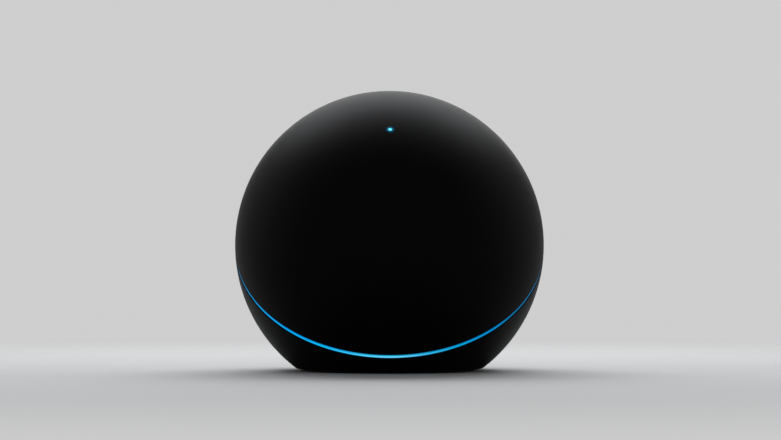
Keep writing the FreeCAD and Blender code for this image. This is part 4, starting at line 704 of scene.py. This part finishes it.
allMetals = {"drift": (0.08, 4.0), "film": {"Size": 6.0, "Amount": 0.5}, "filmed": {"gain": 0.72},
             "filmRougher": 0.12, "edge": {"Reach": 0.12, "Amount": 0.4},
             "rubbed": {"gain": 1.25, "lift": 0.08}, "uneven": (-0.05, 0.07)}


def makeMetal(slot, look):
    # machined rings about the dome's axis, or drawn lines; a duller film in patches
    common = allMetals
    tree, sockets = newFinish(slot, Metallic=1.0)
    if "rings" in look:
        marks = useGroup(tree, "latheRings", Vector=pointIn(tree, domeFrame), Pitch=look["rings"])
    else:
        marks = useGroup(tree, "brushedLines", Vector=localPoint(tree), Density=look["lines"])
    film = maskOf(tree, "touchMarks", **common["film"])
    tone = drifting(tree, look["colour"], common["drift"])
    tone = blendColours(tree, film, tone, changed(look["colour"], **common["filmed"]))
    worn = maskOf(tree, "wornEdge", **common["edge"])
    tone = blendColours(tree, worn, tone, changed(look["colour"], **common["rubbed"]))
    rough = spread(tree, marks["Mask"], [look["roughness"] + part for part in common["uneven"]])
    rough = calc(tree, "ADD", rough, calc(tree, "MULTIPLY", film, common["filmRougher"]))
    dress(tree, sockets, tone, rough, marks["Height"], look["depth"])


boardLook = {"mask": (0.006, 0.010, 0.008), "trace": (0.014, 0.026, 0.019), "pad": (0.72, 0.66, 0.52),
             "drift": (0.1, 6.0), "roughness": (0.31, 0.39), "pitch": 1.1, "depth": 0.03}


def makeBoard(name, place):
    # solder mask over raised tracks, with bare plated pads
    look = boardLook
    tree, sockets = newFinish(name, Specular_IOR_Level=0.5)
    tracks = useGroup(tree, "printedBoard", Vector=pointIn(tree, place), Pitch=look["pitch"])
    tone = blendColours(tree, tracks["Trace"], look["mask"], look["trace"])
    tone = blendColours(tree, tracks["Pad"], drifting(tree, tone, look["drift"]), look["pad"])
    tree.links.new(tracks["Pad"], sockets["Metallic"])
    rough = spread(tree, maskOf(tree, "fineGrain", Size=0.3, Contrast=0.25), look["roughness"])
    dress(tree, sockets, tone, rough, tracks["Height"], look["depth"])


windingLook = {"copper": (0.60, 0.22, 0.09), "varnish": (0.32, 0.09, 0.03), "drift": (0.15, 2.0),
               "roughness": (0.45, 0.28), "pitch": 0.55, "depth": 0.12}


def makeWinding(name, travelOf):
    look = windingLook
    tree, sockets = newFinish(name, Specular_IOR_Level=0.5, Metallic=0.6)
    wire = useGroup(tree, "woundWire", Travel=travelOf(tree), Pitch=look["pitch"])
    tone = blendColours(tree, wire["Mask"], look["varnish"], look["copper"])
    rough = spread(tree, wire["Mask"], look["roughness"])
    dress(tree, sockets, drifting(tree, tone, look["drift"]), rough, wire["Height"], look["depth"])


def upTheCore(tree):
    return calc(tree, "MULTIPLY", split(tree, localPoint(tree))[2], 1 / mm)


def roundTheChoke(tree):
    low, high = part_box("mains_choke")
    outward = addNode(tree, "VectorMath", {0: localPoint(tree), 1: (low + high) / 2}, operation="SUBTRACT")
    parts = split(tree, outward.outputs[0])
    angle = calc(tree, "ARCTAN2", parts[1], parts[0])
    return calc(tree, "MULTIPLY", angle, (high.x - low.x) / 2 / mm)


ribbonLook = {"film": (0.58, 0.57, 0.52), "strip": (0.42, 0.40, 0.34), "drift": (0.06, 3.0),
              "roughness": (0.42, 0.30), "pitch": 0.5, "depth": 0.02}


def makeRibbon():
    # white film over parallel flat conductors
    look = ribbonLook
    tree, sockets = newFinish("flat_cable", Specular_IOR_Level=0.5)
    across = split(tree, pointIn(tree, domeFrame))[1]
    strips = useGroup(tree, "woundWire", Travel=calc(tree, "MULTIPLY", across, 1 / mm),
                      Pitch=look["pitch"])
    tone = blendColours(tree, strips["Height"], look["film"], look["strip"])
    rough = spread(tree, strips["Mask"], look["roughness"])
    dress(tree, sockets, drifting(tree, tone, look["drift"]), rough, strips["Height"], look["depth"])


ledLook = {"body": (0.72, 0.71, 0.66), "phosphor": (0.30, 0.62, 0.72), "drift": (0.08, 2.0),
           "roughness": (0.3, 0.45), "depth": 0.006}


def makeLed():
    look = ledLook
    tree, sockets = newFinish("led_package", Specular_IOR_Level=0.5)
    grain = useGroup(tree, "fineGrain", Size=0.3, Contrast=0.12)
    tone = blendColours(tree, grain["Mask"], look["body"], look["phosphor"])
    rough = spread(tree, grain["Mask"], look["roughness"])
    dress(tree, sockets, drifting(tree, tone, look["drift"]), rough, grain["Height"], look["depth"])


makeSoftTouch()
makeBaseCoat()
makeRingDiffuser()
makeWindow()
for slot, look in plasticLooks.items():
    makePlastic(slot, look)
for slot, look in metalLooks.items():
    makeMetal(slot, look)
for name, place in (("tilted_board", domeFrame), ("flat_board", tableFrame), ("upright_board", rearFrame)):
    makeBoard(name, place)
makeWinding("core_winding", upTheCore)
makeWinding("choke_winding", roundTheChoke)
makeRibbon()
makeLed()

ownFinish = {
    "led_ring_board": "tilted_board", "touch_board": "tilted_board", "main_board": "tilted_board",
    "power_board": "flat_board", "socket_board": "upright_board",
    "transformer_winding": "core_winding", "mains_choke": "choke_winding",
}
for name, node in frame["nodes"].items():
    slot = node.material_slots[0].material.name.split(".")[0]
    node.material_slots[0].material = finish[ownFinish.get(name, slot)]
print("finishes:", len(finish))


# Light ring and foot

lightRing = {"crown": 0.22, "edge": 0.12, "scallop": 0.35, "lenses": 32, "rows": 4, "steps": 256}


def makeLightRing():
    # clear ring with a crowned outer face, and shallow lens scallops over the lamps inside
    look = lightRing
    half, rows = ringHalf, look["rows"]
    outer = max(point.xy.length for point in ringPoints)
    inner = min(point.xy.length for point in ringPoints)
    crown, edge, scallop = inMetres(look, "crown", "edge", "scallop")
    face = [(outer - crown * (step / rows) ** 2, half * step / rows - edge * (abs(step) == rows))
            for step in range(-rows, rows + 1)]
    outline = roundOff([(inner, -half), (outer - crown - edge, -half, edge), *face,
                        (outer - crown - edge, half, edge), (inner, half)], 3)
    middle = [(inner, half * step / 3) for step in (2, 1, 0, -1, -2)]

    def hollow(radius, height, angle):
        if radius > inner + hair or abs(height) > 0.8 * half:
            return 0.0
        return scallop * 0.5 * (1 - math.cos(look["lenses"] * angle))

    mesh = toMesh("ring", [turned(outline + middle, look["steps"], hollow)], domeFrame, 40)
    addPiece("light_ring_lens", mesh, "base", "ring_diffuser", "light_ring")


footPad = {"edge": 0.55, "upperEdge": 0.15, "groove": 0.35, "grooveWidth": 0.7,
           "grooves": (0.50, 0.56, 0.80, 0.86, 0.92), "steps": 160}


def makeFootPad():
    # rubber disc with a rounded edge and moulded grip grooves underneath
    look = footPad
    low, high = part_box("foot_pad")
    radius = (high.x - low.x) / 2
    edge, upperEdge, groove, width = inMetres(look, "edge", "upperEdge", "groove", "grooveWidth")
    profile = ((-0.5, 0, 0.4), (-0.3, groove, 0.3), (0.3, groove, 0.3), (0.5, 0, 0.4))
    under = [(share * radius + across * width, low.z + deep, soft * groove)
             for share in look["grooves"] for across, deep, soft in profile]
    corners = [(0, low.z), *under, (radius, low.z, edge), (radius, high.z, upperEdge), (0, high.z)]
    mesh = toMesh("foot", [turned(roundOff(corners, 4), look["steps"])])
    addPiece("foot_pad_rubber", mesh, "base", "foot_rubber", "foot_pad")


# Rear panel with its sockets, in the panel's own frame

panel = {"floor": 2.0, "wall": 1.6, "corner": 10.0, "sink": 0.2, "rim": 0.5, "fillet": 1.3, "flare": 0.35,
         "gap": 0.15, "post": 2.2, "postHole": 1.0, "thread": 5.0, "screwHole": 1.2}
panelScrew = {"head": 1.9, "headEdge": 0.1, "headSoft": 0.3, "side": 0.45, "crown": 0.62, "crownSoft": 0.9,
              "shank": 1.0, "tip": 0.5, "point": 0.6, "hexagon": 0.9, "hexDepth": 0.7, "hexFlare": 0.12}

panelSize = rearSpan("rear_panel")[0]
floorBack = -panel["floor"] * mm
boardFace = rearBox("socket_board")[1].z
ballInRear = rearFrame.inverted() @ ballCentre
brink = -0.02 * mm  # an opening has its full flare this far below the face


def insideCorners(node, inset, *corners):
    # points that far in from corners of a node's box; 0 is the low side and 1 the high side
    box = rearBox(node)
    return [tuple(box[side][axis] + inset * (1 - 2 * side) for axis, side in enumerate(corner))
            for corner in corners]


def pairPlaces(node):
    # middles of two round things that stand side by side
    low, high = rearBox(node)
    return insideCorners(node, (high.y - low.y) / 2, (0, 0), (1, 0))


screwPlaces = insideCorners("panel_screws", panelScrew["head"] * mm, (0, 0), (1, 0))
postPlaces = insideCorners("socket_board_screws", panelScrew["head"] * mm, (0, 1), (1, 1), (1, 0))
pinPlaces = pairPlaces("mains_pins")
speakerPlaces = {node: pairPlaces(node) for node in ("speaker_sockets_red", "speaker_sockets_black")}


def ballFace(u, v):
    # how far out the panel's rim stands to follow the ball
    reach = ballRadius - panel["sink"] * mm
    return ballInRear.z + math.sqrt(reach ** 2 - (u - ballInRear.x) ** 2 - (v - ballInRear.y) ** 2)


def panelTray():
    wall, corner, rim, fillet = inMetres(panel, "wall", "corner", "rim", "fillet")
    quarter = [math.pi / 2 * step / 5 for step in range(6)]
    # inset, height, and whether the height counts from the ball's face
    steps = [(0, floorBack, False), (0, -rim, True)]
    steps += [(rim * (1 - math.cos(turn)), rim * (math.sin(turn) - 1), True) for turn in quarter[1:]]
    steps += [(wall - rim * (1 - math.sin(turn)), rim * (math.cos(turn) - 1), True) for turn in quarter]
    steps += [(wall + fillet * (1 - math.cos(turn)), fillet * (1 - math.sin(turn)), False)
              for turn in quarter]
    loops = []
    for inset, height, onBall in steps:
        loop = roundBox(panelSize.x - 2 * inset, panelSize.y - 2 * inset, corner - inset, 10, sides=26)
        loops.append([(point.x, point.y, height + (ballFace(*point) if onBall else 0)) for point in loop])
    return skin(loops)


def socketHole(node, corner):
    size, middle = rearSpan(node)
    flare, gap = inMetres(panel, "flare", "gap")

    def loop(grow):
        more = 2 * (grow + gap)
        return roundBox(size.x + more, size.y + more, corner * mm + gap + grow, 6)

    return flared(loop, floorBack - mm, 0.0, flare, middle.xy)


def makeRearPanel():
    post, postHole, thread, screwHole = inMetres(panel, "post", "postHole", "thread", "screwHole")
    joins = [cylinder(post, boardFace, floorBack + 0.5 * mm, at) for at in postPlaces]
    holes = [cylinder(postHole, boardFace - mm, boardFace + thread, at) for at in postPlaces]
    holes += [cylinder(screwHole, floorBack - mm, mm, at) for at in screwPlaces]
    collarHole = (speakerSocket["body"] + panel["gap"]) * mm
    for places in speakerPlaces.values():
        holes += [cylinder(collarHole, floorBack - mm, mm, at, 64) for at in places]
    for node, corner in (("mains_inlet", mainsInlet["corner"]),
                         ("ethernet_shield", ethernetSocket["holeCorner"]),
                         ("optical_housing", opticalSocket["holeCorner"]),
                         ("hdmi_shell", videoSocket["corner"])):
        holes.append(socketHole(node, corner))
    tray = carve(toMesh("tray", [panelTray()], rearFrame), [(holes, rearFrame)], [(joins, rearFrame)], 30)
    addPiece("rear_panel_tray", tray, "base", "panel_plastic", "rear_panel")


speakerSocket = {"body": 4.0, "backEdge": 0.3, "edge": 0.15, "wall": 1.98, "rim": 0.6,
                 "ribs": 30, "ribDepth": 0.16, "ribLow": 0.45, "ribHigh": 2.65,
                 "neck": 0.22, "neckSpan": (0.2, 0.45, 0.6), "neckSoft": 0.08, "shoulder": 0.1,
                 "mouth": 3.45, "mouthDepth": 0.5, "mouthSoft": 0.2, "steps": 120}


def makeSpeakerSockets(node, name, slot):
    # insulators with a ribbed grip, a narrow neck and a rounded mouth
    look = speakerSocket
    low, high = rearBox(node)
    collar = (high.y - low.y) / 2
    body, rim, neck, mouth, wall = inMetres(look, "body", "rim", "neck", "mouth", "wall")
    ribLow, ribHigh, ribDepth = inMetres(look, "ribLow", "ribHigh", "ribDepth")
    edge, backEdge, neckSoft = inMetres(look, "edge", "backEdge", "neckSoft")
    shoulder, mouthDepth, mouthSoft = inMetres(look, "shoulder", "mouthDepth", "mouthSoft")
    neckFrom, neckTo, neckEnd = (ribHigh + height * mm for height in look["neckSpan"])
    bore = collar - wall
    side = [(collar, ribLow + (ribHigh - ribLow) * step / 4) for step in range(5)]
    outline = roundOff([
        (bore, low.z), (body, low.z, backEdge), (body, 0), (collar, 0, edge), *side,
        (collar - neck, neckFrom, neckSoft), (collar - neck, neckTo, neckSoft),
        (collar, neckEnd, shoulder), (collar, high.z, rim),
        (mouth, high.z, mouthSoft), (bore, high.z - mouthDepth, mouthSoft)], 4)

    def ribs(radius, height, angle):
        if radius < collar - hair or not ribLow < height < ribHigh:
            return 0.0
        return -ribDepth * (0.5 - 0.5 * math.cos(look["ribs"] * angle))

    shapes = [turned(outline, look["steps"], ribs, at) for at in speakerPlaces[node]]
    addPiece(name, toMesh(name, shapes, rearFrame, 34), "base", slot, node)


speakerContact = {"play": 0.03, "backEdge": 0.2, "edge": 0.15, "bore": 2.0, "boreEdge": 0.2,
                  "lip": 0.35, "lipEdge": 0.1, "back": 1.5, "backSoft": 0.6, "steps": 64,
                  "grooves": (1.6, 2.4, 3.2), "groove": ((0.0, 0.0), (0.12, 0.1), (0.12, 0.3), (0.0, 0.4))}


def makeSpeakerContacts():
    # metal tubes, grooved inside, open at the front
    look = speakerContact
    low, high = rearBox("speaker_socket_contacts")
    play, bore, lip, back, backSoft = inMetres(look, "play", "bore", "lip", "back", "backSoft")
    backEdge, edge, boreEdge, lipEdge = inMetres(look, "backEdge", "edge", "boreEdge", "lipEdge")
    outer = (high.y - low.y) / 2 - play
    grooves = [(bore + out * mm, high.z - depth * mm - down * mm)
               for depth in look["grooves"] for out, down in look["groove"]]
    outline = roundOff([
        (0, low.z), (outer, low.z, backEdge), (outer, high.z, edge), (bore + lip, high.z, lipEdge),
        (bore, high.z - lip, boreEdge), *grooves, (bore, low.z + back, backSoft), (0, low.z + back)], 4)
    shapes = [turned(outline, look["steps"], at=at) for places in speakerPlaces.values() for at in places]
    mesh = toMesh("contacts", shapes, rearFrame, 34)
    addPiece("socket_contact_tubes", mesh, "base", "contact_gold", "speaker_socket_contacts")


mainsInlet = {"corner": 5.5, "depth": 9.5, "lobe": 4.2, "waist": 6.2, "flare": 0.6, "edge": 0.5}


def figureEight(grow):
    # two round lobes joined by a straight waist
    lobe, waist = mainsInlet["lobe"] * mm + grow, mainsInlet["waist"] / 2 * mm + grow
    side = (pinPlaces[1][0] - pinPlaces[0][0]) / 2
    end = math.pi - math.asin(min(1, waist / lobe))
    angles = [-end + 2 * end * step / 32 for step in range(33)]
    return [(way * (side + lobe * math.cos(angle)), way * lobe * math.sin(angle))
            for way in (1, -1) for angle in angles]


def makeMainsInlet():
    look = mainsInlet
    size, middle = rearSpan("mains_inlet")
    back = rearBox("mains_inlet")[0].z
    corner, depth, flare, edge = inMetres(look, "corner", "depth", "flare", "edge")
    block = softBox(size.x, size.y, corner, back, 0.0, edge, middle.xy, 10)
    cavity = flared(figureEight, -depth, brink, flare, middle.xy)
    pin = rearSpan("mains_pins")[0].y / 2
    holes = [cylinder(pin, back - mm, -depth + mm, at) for at in pinPlaces]
    mesh = carve(toMesh("inlet", [block], rearFrame), [([cavity], rearFrame), (holes, rearFrame)])
    addPiece("mains_inlet_body", mesh, "base", "inlet_plastic", "mains_inlet")


mainsPin = {"backEdge": 0.2, "nose": 0.95, "steps": 40}


def makeMainsPins():
    look = mainsPin
    low, high = rearBox("mains_pins")
    radius = (high.y - low.y) / 2
    outline = roundOff([(0, low.z), (radius, low.z, look["backEdge"] * mm),
                        (radius, high.z, look["nose"] * radius), (0, high.z)], 8)
    shapes = [turned(outline, look["steps"], at=at) for at in pinPlaces]
    addPiece("mains_contact_pins", toMesh("pins", shapes, rearFrame), "base", "pin_brass", "mains_pins")


ethernetSocket = {
    "sheet": 0.5, "corner": 0.5, "edge": 0.2, "innerEdge": 0.05, "holeCorner": 0.3,
    "plugWidth": 11.8, "plugTall": 7.0, "depth": 11.0, "roof": 1.2, "clip": ((6.2, 1.6), (3.4, 1.6)),
    "flare": 0.45, "wire": 0.38, "pitch": 1.02, "insertCorner": 0.3, "insertEdge": 0.15,
    "spring": {"tall": 3.0, "corner": 0.3, "back": -5.5, "front": -2.2, "soft": 0.1},
    "guide": {"wide": 0.28, "tall": 0.9, "corner": 0.1, "back": -10.6, "front": -3.4, "soft": 0.05,
              "down": 0.35},
    "wirePath": ((0.35, -10.9), (0.35, -4.3, 0.5), (0.75, -3.5, 0.35), (1.15, -4.2, 0.5), (3.1, -9.6)),
}


def steppedHollow(grow):
    # plug opening with its clip slot below, in two steps
    look = ethernetSocket
    half, roof = look["plugWidth"] / 2 * mm, rearSpan("ethernet_shield")[0].y / 2 - look["roof"] * mm
    level = roof - look["plugTall"] * mm
    right = [(half + grow, roof + grow), (half + grow, level - grow)]
    for width, tall in look["clip"]:
        right.append((width / 2 * mm + grow, level - grow))
        level -= tall * mm
        right.append((width / 2 * mm + grow, level - grow))
    return right + [(-x, y) for x, y in reversed(right)]


def makeEthernetShield():
    # tin case, with a window and a pressed spring in each side wall
    look = ethernetSocket
    sheet, corner, edge, innerEdge = inMetres(look, "sheet", "corner", "edge", "innerEdge")
    low, high = rearBox("ethernet_shield")
    size, middle = rearSpan("ethernet_shield")
    shell = softBox(size.x, size.y, corner, low.z, high.z, edge, middle.xy, 4)
    inside = softBox(size.x - 2 * sheet, size.y - 2 * sheet, corner / 2, low.z + sheet, high.z + mm,
                     innerEdge, middle.xy, 4)
    tall, bend, back, front, soft = inMetres(look["spring"], "tall", "corner", "back", "front", "soft")
    springs = [softBox(3 * sheet, tall, bend, back, front, soft,
                       (middle.x + side * (size.x / 2 - sheet / 2), middle.y), 3) for side in (-1, 1)]
    mesh = carve(toMesh("shield", [shell], rearFrame), [([inside], rearFrame), (springs, rearFrame)])
    addPiece("ethernet_shield_case", mesh, "base", "shield_nickel", "ethernet_shield")


def makeEthernetInsert():
    # insulator with the stepped opening, and thin guides between the contacts
    look = ethernetSocket
    low, high = rearBox("ethernet_insert")
    middle = rearSpan("ethernet_shield")[1]
    depth, flare, pitch, corner, edge = inMetres(
        look, "depth", "flare", "pitch", "insertCorner", "insertEdge")
    block = softBox(high.x - low.x, high.y - low.y, corner, low.z, high.z, edge, middle.xy, 4)
    hollow = flared(steppedHollow, -depth, brink, flare, middle.xy)
    wide, tall, bend, back, front, soft, down = inMetres(
        look["guide"], "wide", "tall", "corner", "back", "front", "soft", "down")
    row = middle.y + steppedHollow(0)[0][1] - down
    guides = [softBox(wide, tall, bend, back, front, soft, (middle.x + (number - 4) * pitch, row), 3)
              for number in range(9)]
    insert = carve(toMesh("insert", [block], rearFrame), [([hollow], rearFrame)])
    mesh = carve(insert, [], [(guides, rearFrame)])
    addPiece("ethernet_socket_insert", mesh, "base", "insert_black", "ethernet_insert")


def bentWire(path, across, thick):
    # a square wire along points of (height, depth), centred on across
    left, right = across - thick / 2, across + thick / 2
    loops = []
    for number, here in enumerate(path):
        before, after = path[max(number - 1, 0)], path[min(number + 1, len(path) - 1)]
        way = Vector(after) - Vector(before)
        normal = Vector((-way.y, way.x)).normalized() * thick / 2
        over, under = Vector(here) + normal, Vector(here) - normal
        loops.append([(left, *over), (right, *over), (right, *under), (left, *under)])
    return skin(loops)


def makeEthernetContacts():
    # sprung wires that come off the roof near the mouth and slope down to the back
    look = ethernetSocket
    middle = rearSpan("ethernet_shield")[1]
    roof = middle.y + steppedHollow(0)[0][1]
    wire, pitch = inMetres(look, "wire", "pitch")
    path = roundOff([(roof - down * mm, depth * mm, *(radius * mm for radius in bend))
                     for down, depth, *bend in look["wirePath"]], 4)
    shapes = [bentWire(path, middle.x + (number - 3.5) * pitch, wire) for number in range(8)]
    mesh = toMesh("wires", shapes, rearFrame)
    addPiece("ethernet_spring_wires", mesh, "base", "contact_gold", "ethernet_contacts")


opticalSocket = {"corner": 0.5, "edge": 0.3, "holeCorner": 0.3, "bore": 7.6, "boreCorner": 0.3, "depth": 9.5,
                 "flare": 0.35, "pinRow": 0.75, "pin": 0.45, "pinEdge": 0.12, "pinReach": 0.7, "play": 0.25,
                 "plate": 0.5, "plateEdge": 0.12, "overPin": 0.1, "inset": 0.9, "fit": 0.05,
                 "dish": {"side": 0.8, "upright": 1.2, "down": 0.3, "deep": 0.12, "edge": 0.04}}


def makeOpticalSocket():
    look = opticalSocket
    bore, boreCorner, pin, inset, fit = inMetres(look, "bore", "boreCorner", "pin", "inset", "fit")
    size, middle = rearSpan("optical_housing")
    row = middle.y + bore / 2 - look["pinRow"] * mm
    reach = bore / 2 + look["pinReach"] * mm
    # local Z of this frame runs along the flap's pin
    pinFrame = (rearFrame @ Matrix.Translation((middle.x, row, -inset))
                @ Matrix.Rotation(math.pi / 2, 4, "Y"))

    def opening(grow):
        return roundBox(bore + 2 * grow, bore + 2 * grow, boreCorner + grow, 4)

    corner, edge, depth, flare = inMetres(look, "corner", "edge", "depth", "flare")
    block = softBox(size.x, size.y, corner, rearBox("optical_housing")[0].z, 0.0, edge, middle.xy, 5)
    cavity = flared(opening, -depth, brink, flare, middle.xy)
    pinHole = cylinder(pin + fit, -reach, reach, (0, 0), 24)
    mesh = carve(toMesh("optical", [block], rearFrame), [([cavity], rearFrame), ([pinHole], pinFrame)])
    addPiece("optical_socket_body", mesh, "base", "insert_black", "optical_housing")

    # spring flap with a framed face, hung on its own pin
    play, plate, plateEdge, overPin, pinEdge = inMetres(
        look, "play", "plate", "plateEdge", "overPin", "pinEdge")
    wide, under, over = bore - 2 * play, rearBox("optical_shutter")[0].y, row + overPin
    height = (under + over) / 2
    face = softBox(wide, over - under, corner, -inset - plate / 2, -inset + plate / 2, plateEdge,
                   (middle.x, height), 5)
    side, upright, down, deep, soft = inMetres(look["dish"], "side", "upright", "down", "deep", "edge")
    dish = softBox(wide - 2 * side, over - under - 2 * upright, corner, -inset + plate / 2 - deep,
                   -inset + plate, soft, (middle.x, height - down), 4)
    end = reach - fit
    rod = turned(roundOff([(0, -end), (pin, -end, pinEdge), (pin, end, pinEdge), (0, end)], 3), 28)
    flap = carve(toMesh("flap", [face], rearFrame), [([dish], rearFrame)], [([rod], pinFrame)])
    addPiece("optical_spring_flap", flap, "optical_shutter", "shutter_black", "optical_shutter")


videoSocket = {"corner": 0.7, "sheet": 0.3, "outerEdge": 0.08, "innerEdge": 0.06, "backEdge": 0.04,
               "block": {"deep": 4.0, "corner": 0.2, "edge": 0.1},
               "tongue": {"wide": 4.4, "tall": 0.7, "root": 0.2, "corner": 0.15, "edge": 0.12}}


def makeVideoSocket():
    # open tin shell with softened edges, and a tongue on a block inside it
    look = videoSocket
    sheet, corner, outerEdge, innerEdge, backEdge = inMetres(
        look, "sheet", "corner", "outerEdge", "innerEdge", "backEdge")
    size, middle = rearSpan("hdmi_shell")
    back = rearBox("hdmi_shell")[0].z
    steps = ((backEdge, back), (0, back + backEdge), (0, -outerEdge), (outerEdge, 0), (sheet - innerEdge, 0),
             (sheet, -innerEdge), (sheet, back + backEdge), (sheet - backEdge, back))
    loops = []
    for inset, height in steps:
        loop = roundBox(size.x - 2 * inset, size.y - 2 * inset, corner - inset, 6)
        loops.append([(middle.x + point.x, middle.y + point.y, height) for point in loop])
    mesh = toMesh("video", [skin(loops, wrap=True)], rearFrame)
    addPiece("video_socket_shell", mesh, "base", "shield_nickel", "hdmi_shell")

    low, high = rearBox("hdmi_tongue")
    deep, corner, edge = inMetres(look["block"], "deep", "corner", "edge")
    base = softBox(high.x - low.x, high.y - low.y, corner, low.z, low.z + deep, edge, middle.xy, 4)
    wide, tall, root, corner, edge = inMetres(look["tongue"], "wide", "tall", "root", "corner", "edge")
    tongue = softBox(wide, tall, corner, low.z + deep - root, high.z, edge, middle.xy, 4)
    mesh = carve(toMesh("tongue", [base], rearFrame), [], [([tongue], rearFrame)])
    addPiece("video_socket_tongue", mesh, "base", "insert_black", "hdmi_tongue")


def makePanelScrews():
    # low domed heads with a hexagon socket
    look = panelScrew
    low, high = rearBox("panel_screws")
    head, headEdge, headSoft, crownSoft = inMetres(look, "head", "headEdge", "headSoft", "crownSoft")
    shank, tip, hexagon, hexDepth, hexFlare = inMetres(
        look, "shank", "tip", "hexagon", "hexDepth", "hexFlare")
    outline = roundOff([(0, low.z), (shank * look["point"], low.z), (shank, low.z + tip), (shank, 0),
                        (head, 0, headEdge), (head, high.z * look["side"], headSoft),
                        (head * look["crown"], high.z, crownSoft), (0, high.z)], 5)

    def hexagonAt(grow):
        wider, turns = 1 + grow / hexagon, [number * math.pi / 3 for number in range(6)]
        return [(hexagon * math.cos(turn) * wider, hexagon * math.sin(turn) * wider) for turn in turns]

    cuts = [flared(hexagonAt, high.z - hexDepth, high.z, hexFlare, at) for at in screwPlaces]
    screws = toMesh("screws", [turned(outline, 48, at=at) for at in screwPlaces], rearFrame)
    addPiece("panel_screw_pair", carve(screws, [(cuts, rearFrame)]), "base", "black_screw", "panel_screws")


makeLightRing()
makeFootPad()
makeRearPanel()
makeSpeakerSockets("speaker_sockets_red", "red_socket_collars", "socket_red")
makeSpeakerSockets("speaker_sockets_black", "black_socket_collars", "socket_black")
makeSpeakerContacts()
makeMainsInlet()
makeMainsPins()
makeEthernetShield()
makeEthernetInsert()
makeEthernetContacts()
makeOpticalSocket()
makeVideoSocket()
makePanelScrews()
print("pieces: done")


# Studio: a pale bowl all round, broad soft lamps, and the camera

studio = {
    "albedo": (0.50, 0.50, 0.498), "drift": (0.01, 180.0),
    "shown": (0.62, 0.62, 0.62), "shadowReach": (0.10, 0.50),
    "flat": 1.35, "curve": 0.6, "wall": 1.7, "steps": 96,
    "world": (0.30, 0.30, 0.31),
}
lamps = {
    "overheadLamp": {"at": (0.0, 0.55, 0.80), "size": (1.25, 0.55), "power": 12.0,
                     "tint": (0.94, 0.975, 1.0)},
    "leftLamp": {"at": (-1.0, 0.30, 0.42), "size": (0.50, 0.80), "power": 0.5, "tint": (1.0, 0.96, 0.88)},
    "rightLamp": {"at": (1.0, 0.30, 0.42), "size": (0.50, 0.80), "power": 0.5, "tint": (1.0, 0.96, 0.88)},
    "frontLamp": {"at": (0.0, -1.15, 1.15), "size": (1.2, 1.0), "power": 1.5, "tint": white},
    "rearLamp": {"at": (0.05, 1.2, 0.55), "size": (0.9, 0.6), "power": 3.0, "tint": white},
}
camera = {"distance": 0.9176, "azimuth": -0.35, "elevation": -0.92, "lens": 112.38, "sensor": 36.0,
          "aimUp": 9.46, "aimRight": 0.39}


def makePaper():
    # away from the object the paper shows at one pale level; the floor round it keeps its shadow
    look = studio
    material = bpy.data.materials.new("palePaper")
    material.use_nodes = True
    tree = material.node_tree
    tree.nodes.clear()
    paper = drifting(tree, look["albedo"], look["drift"])
    surface = addNode(tree, "BsdfPrincipled", {"Base Color": paper, "Roughness": 0.9,
                                               "Specular IOR Level": 0.1})
    rays = addNode(tree, "LightPath").outputs
    seen = calc(tree, "MAXIMUM", rays["Is Camera Ray"], rays["Is Glossy Ray"], rays["Is Transmission Ray"])
    away = fromAxis(tree, localPoint(tree))
    far = spread(tree, away, within=look["shadowReach"], smooth=True)
    pale = addNode(tree, "Emission", {"Color": asColour(look["shown"]), "Strength": 1.0})
    mixed = addNode(tree, "MixShader", {0: calc(tree, "MULTIPLY", seen, far), 1: surface.outputs[0],
                                        2: pale.outputs[0]})
    addNode(tree, "OutputMaterial", {"Surface": mixed.outputs[0]})
    return material


def makeStage():
    flat, curve, steps = studio["flat"], studio["curve"], studio["steps"]
    turns = [math.pi / 2 * step / 12 for step in range(13)]
    outline = [(0.3, 0.0), (0.7, 0.0)]
    outline += [(flat + curve * math.sin(turn), curve * (1 - math.cos(turn))) for turn in turns]
    outline.append((flat + curve, studio["wall"]))
    points, faces = skin([ringOf(radius, height, steps) for radius, height in outline], caps=False)
    faces.append(tuple(reversed(range(steps))))
    mesh = bpy.data.meshes.new("studioBowl")
    mesh.from_pydata(points, [], faces)
    mesh.shade_smooth()
    mesh.materials.append(makePaper())
    addThing("studioBowl", mesh)


def makeLamps():
    world = bpy.data.worlds.new("softWorld")
    world.use_nodes = True
    background = world.node_tree.nodes["Background"].inputs
    background["Color"].default_value = asColour(studio["world"])
    background["Strength"].default_value = 1.0
    bpy.context.scene.world = world
    for name, look in lamps.items():
        light = bpy.data.lights.new(name, "AREA")
        light.shape = "RECTANGLE"
        light.size, light.size_y = look["size"]
        light.energy, light.color = look["power"], look["tint"]
        thing = addThing(name, light)
        thing.location = look["at"]
        thing.rotation_euler = (ballCentre - Vector(look["at"])).to_track_quat("-Z", "Y").to_euler()


def makeCamera():
    look = camera
    rise, turn = math.radians(look["elevation"]), math.radians(look["azimuth"])
    place = ballCentre + look["distance"] * Vector((
        math.sin(turn) * math.cos(rise), -math.cos(turn) * math.cos(rise), math.sin(rise)))
    aim = ballCentre + Vector((look["aimRight"], 0, look["aimUp"])) * mm
    lens = bpy.data.cameras.new("frontCamera")
    lens.lens, lens.sensor_width, lens.clip_start = look["lens"], look["sensor"], 0.01
    viewer = addThing("frontCamera", lens)
    viewer.location = place
    viewer.rotation_euler = (aim - place).to_track_quat("-Z", "Y").to_euler()
    bpy.context.scene.camera = viewer
    bpy.context.scene.view_settings.view_transform = "Standard"


makeStage()
makeLamps()
makeCamera()
print("studio: done")
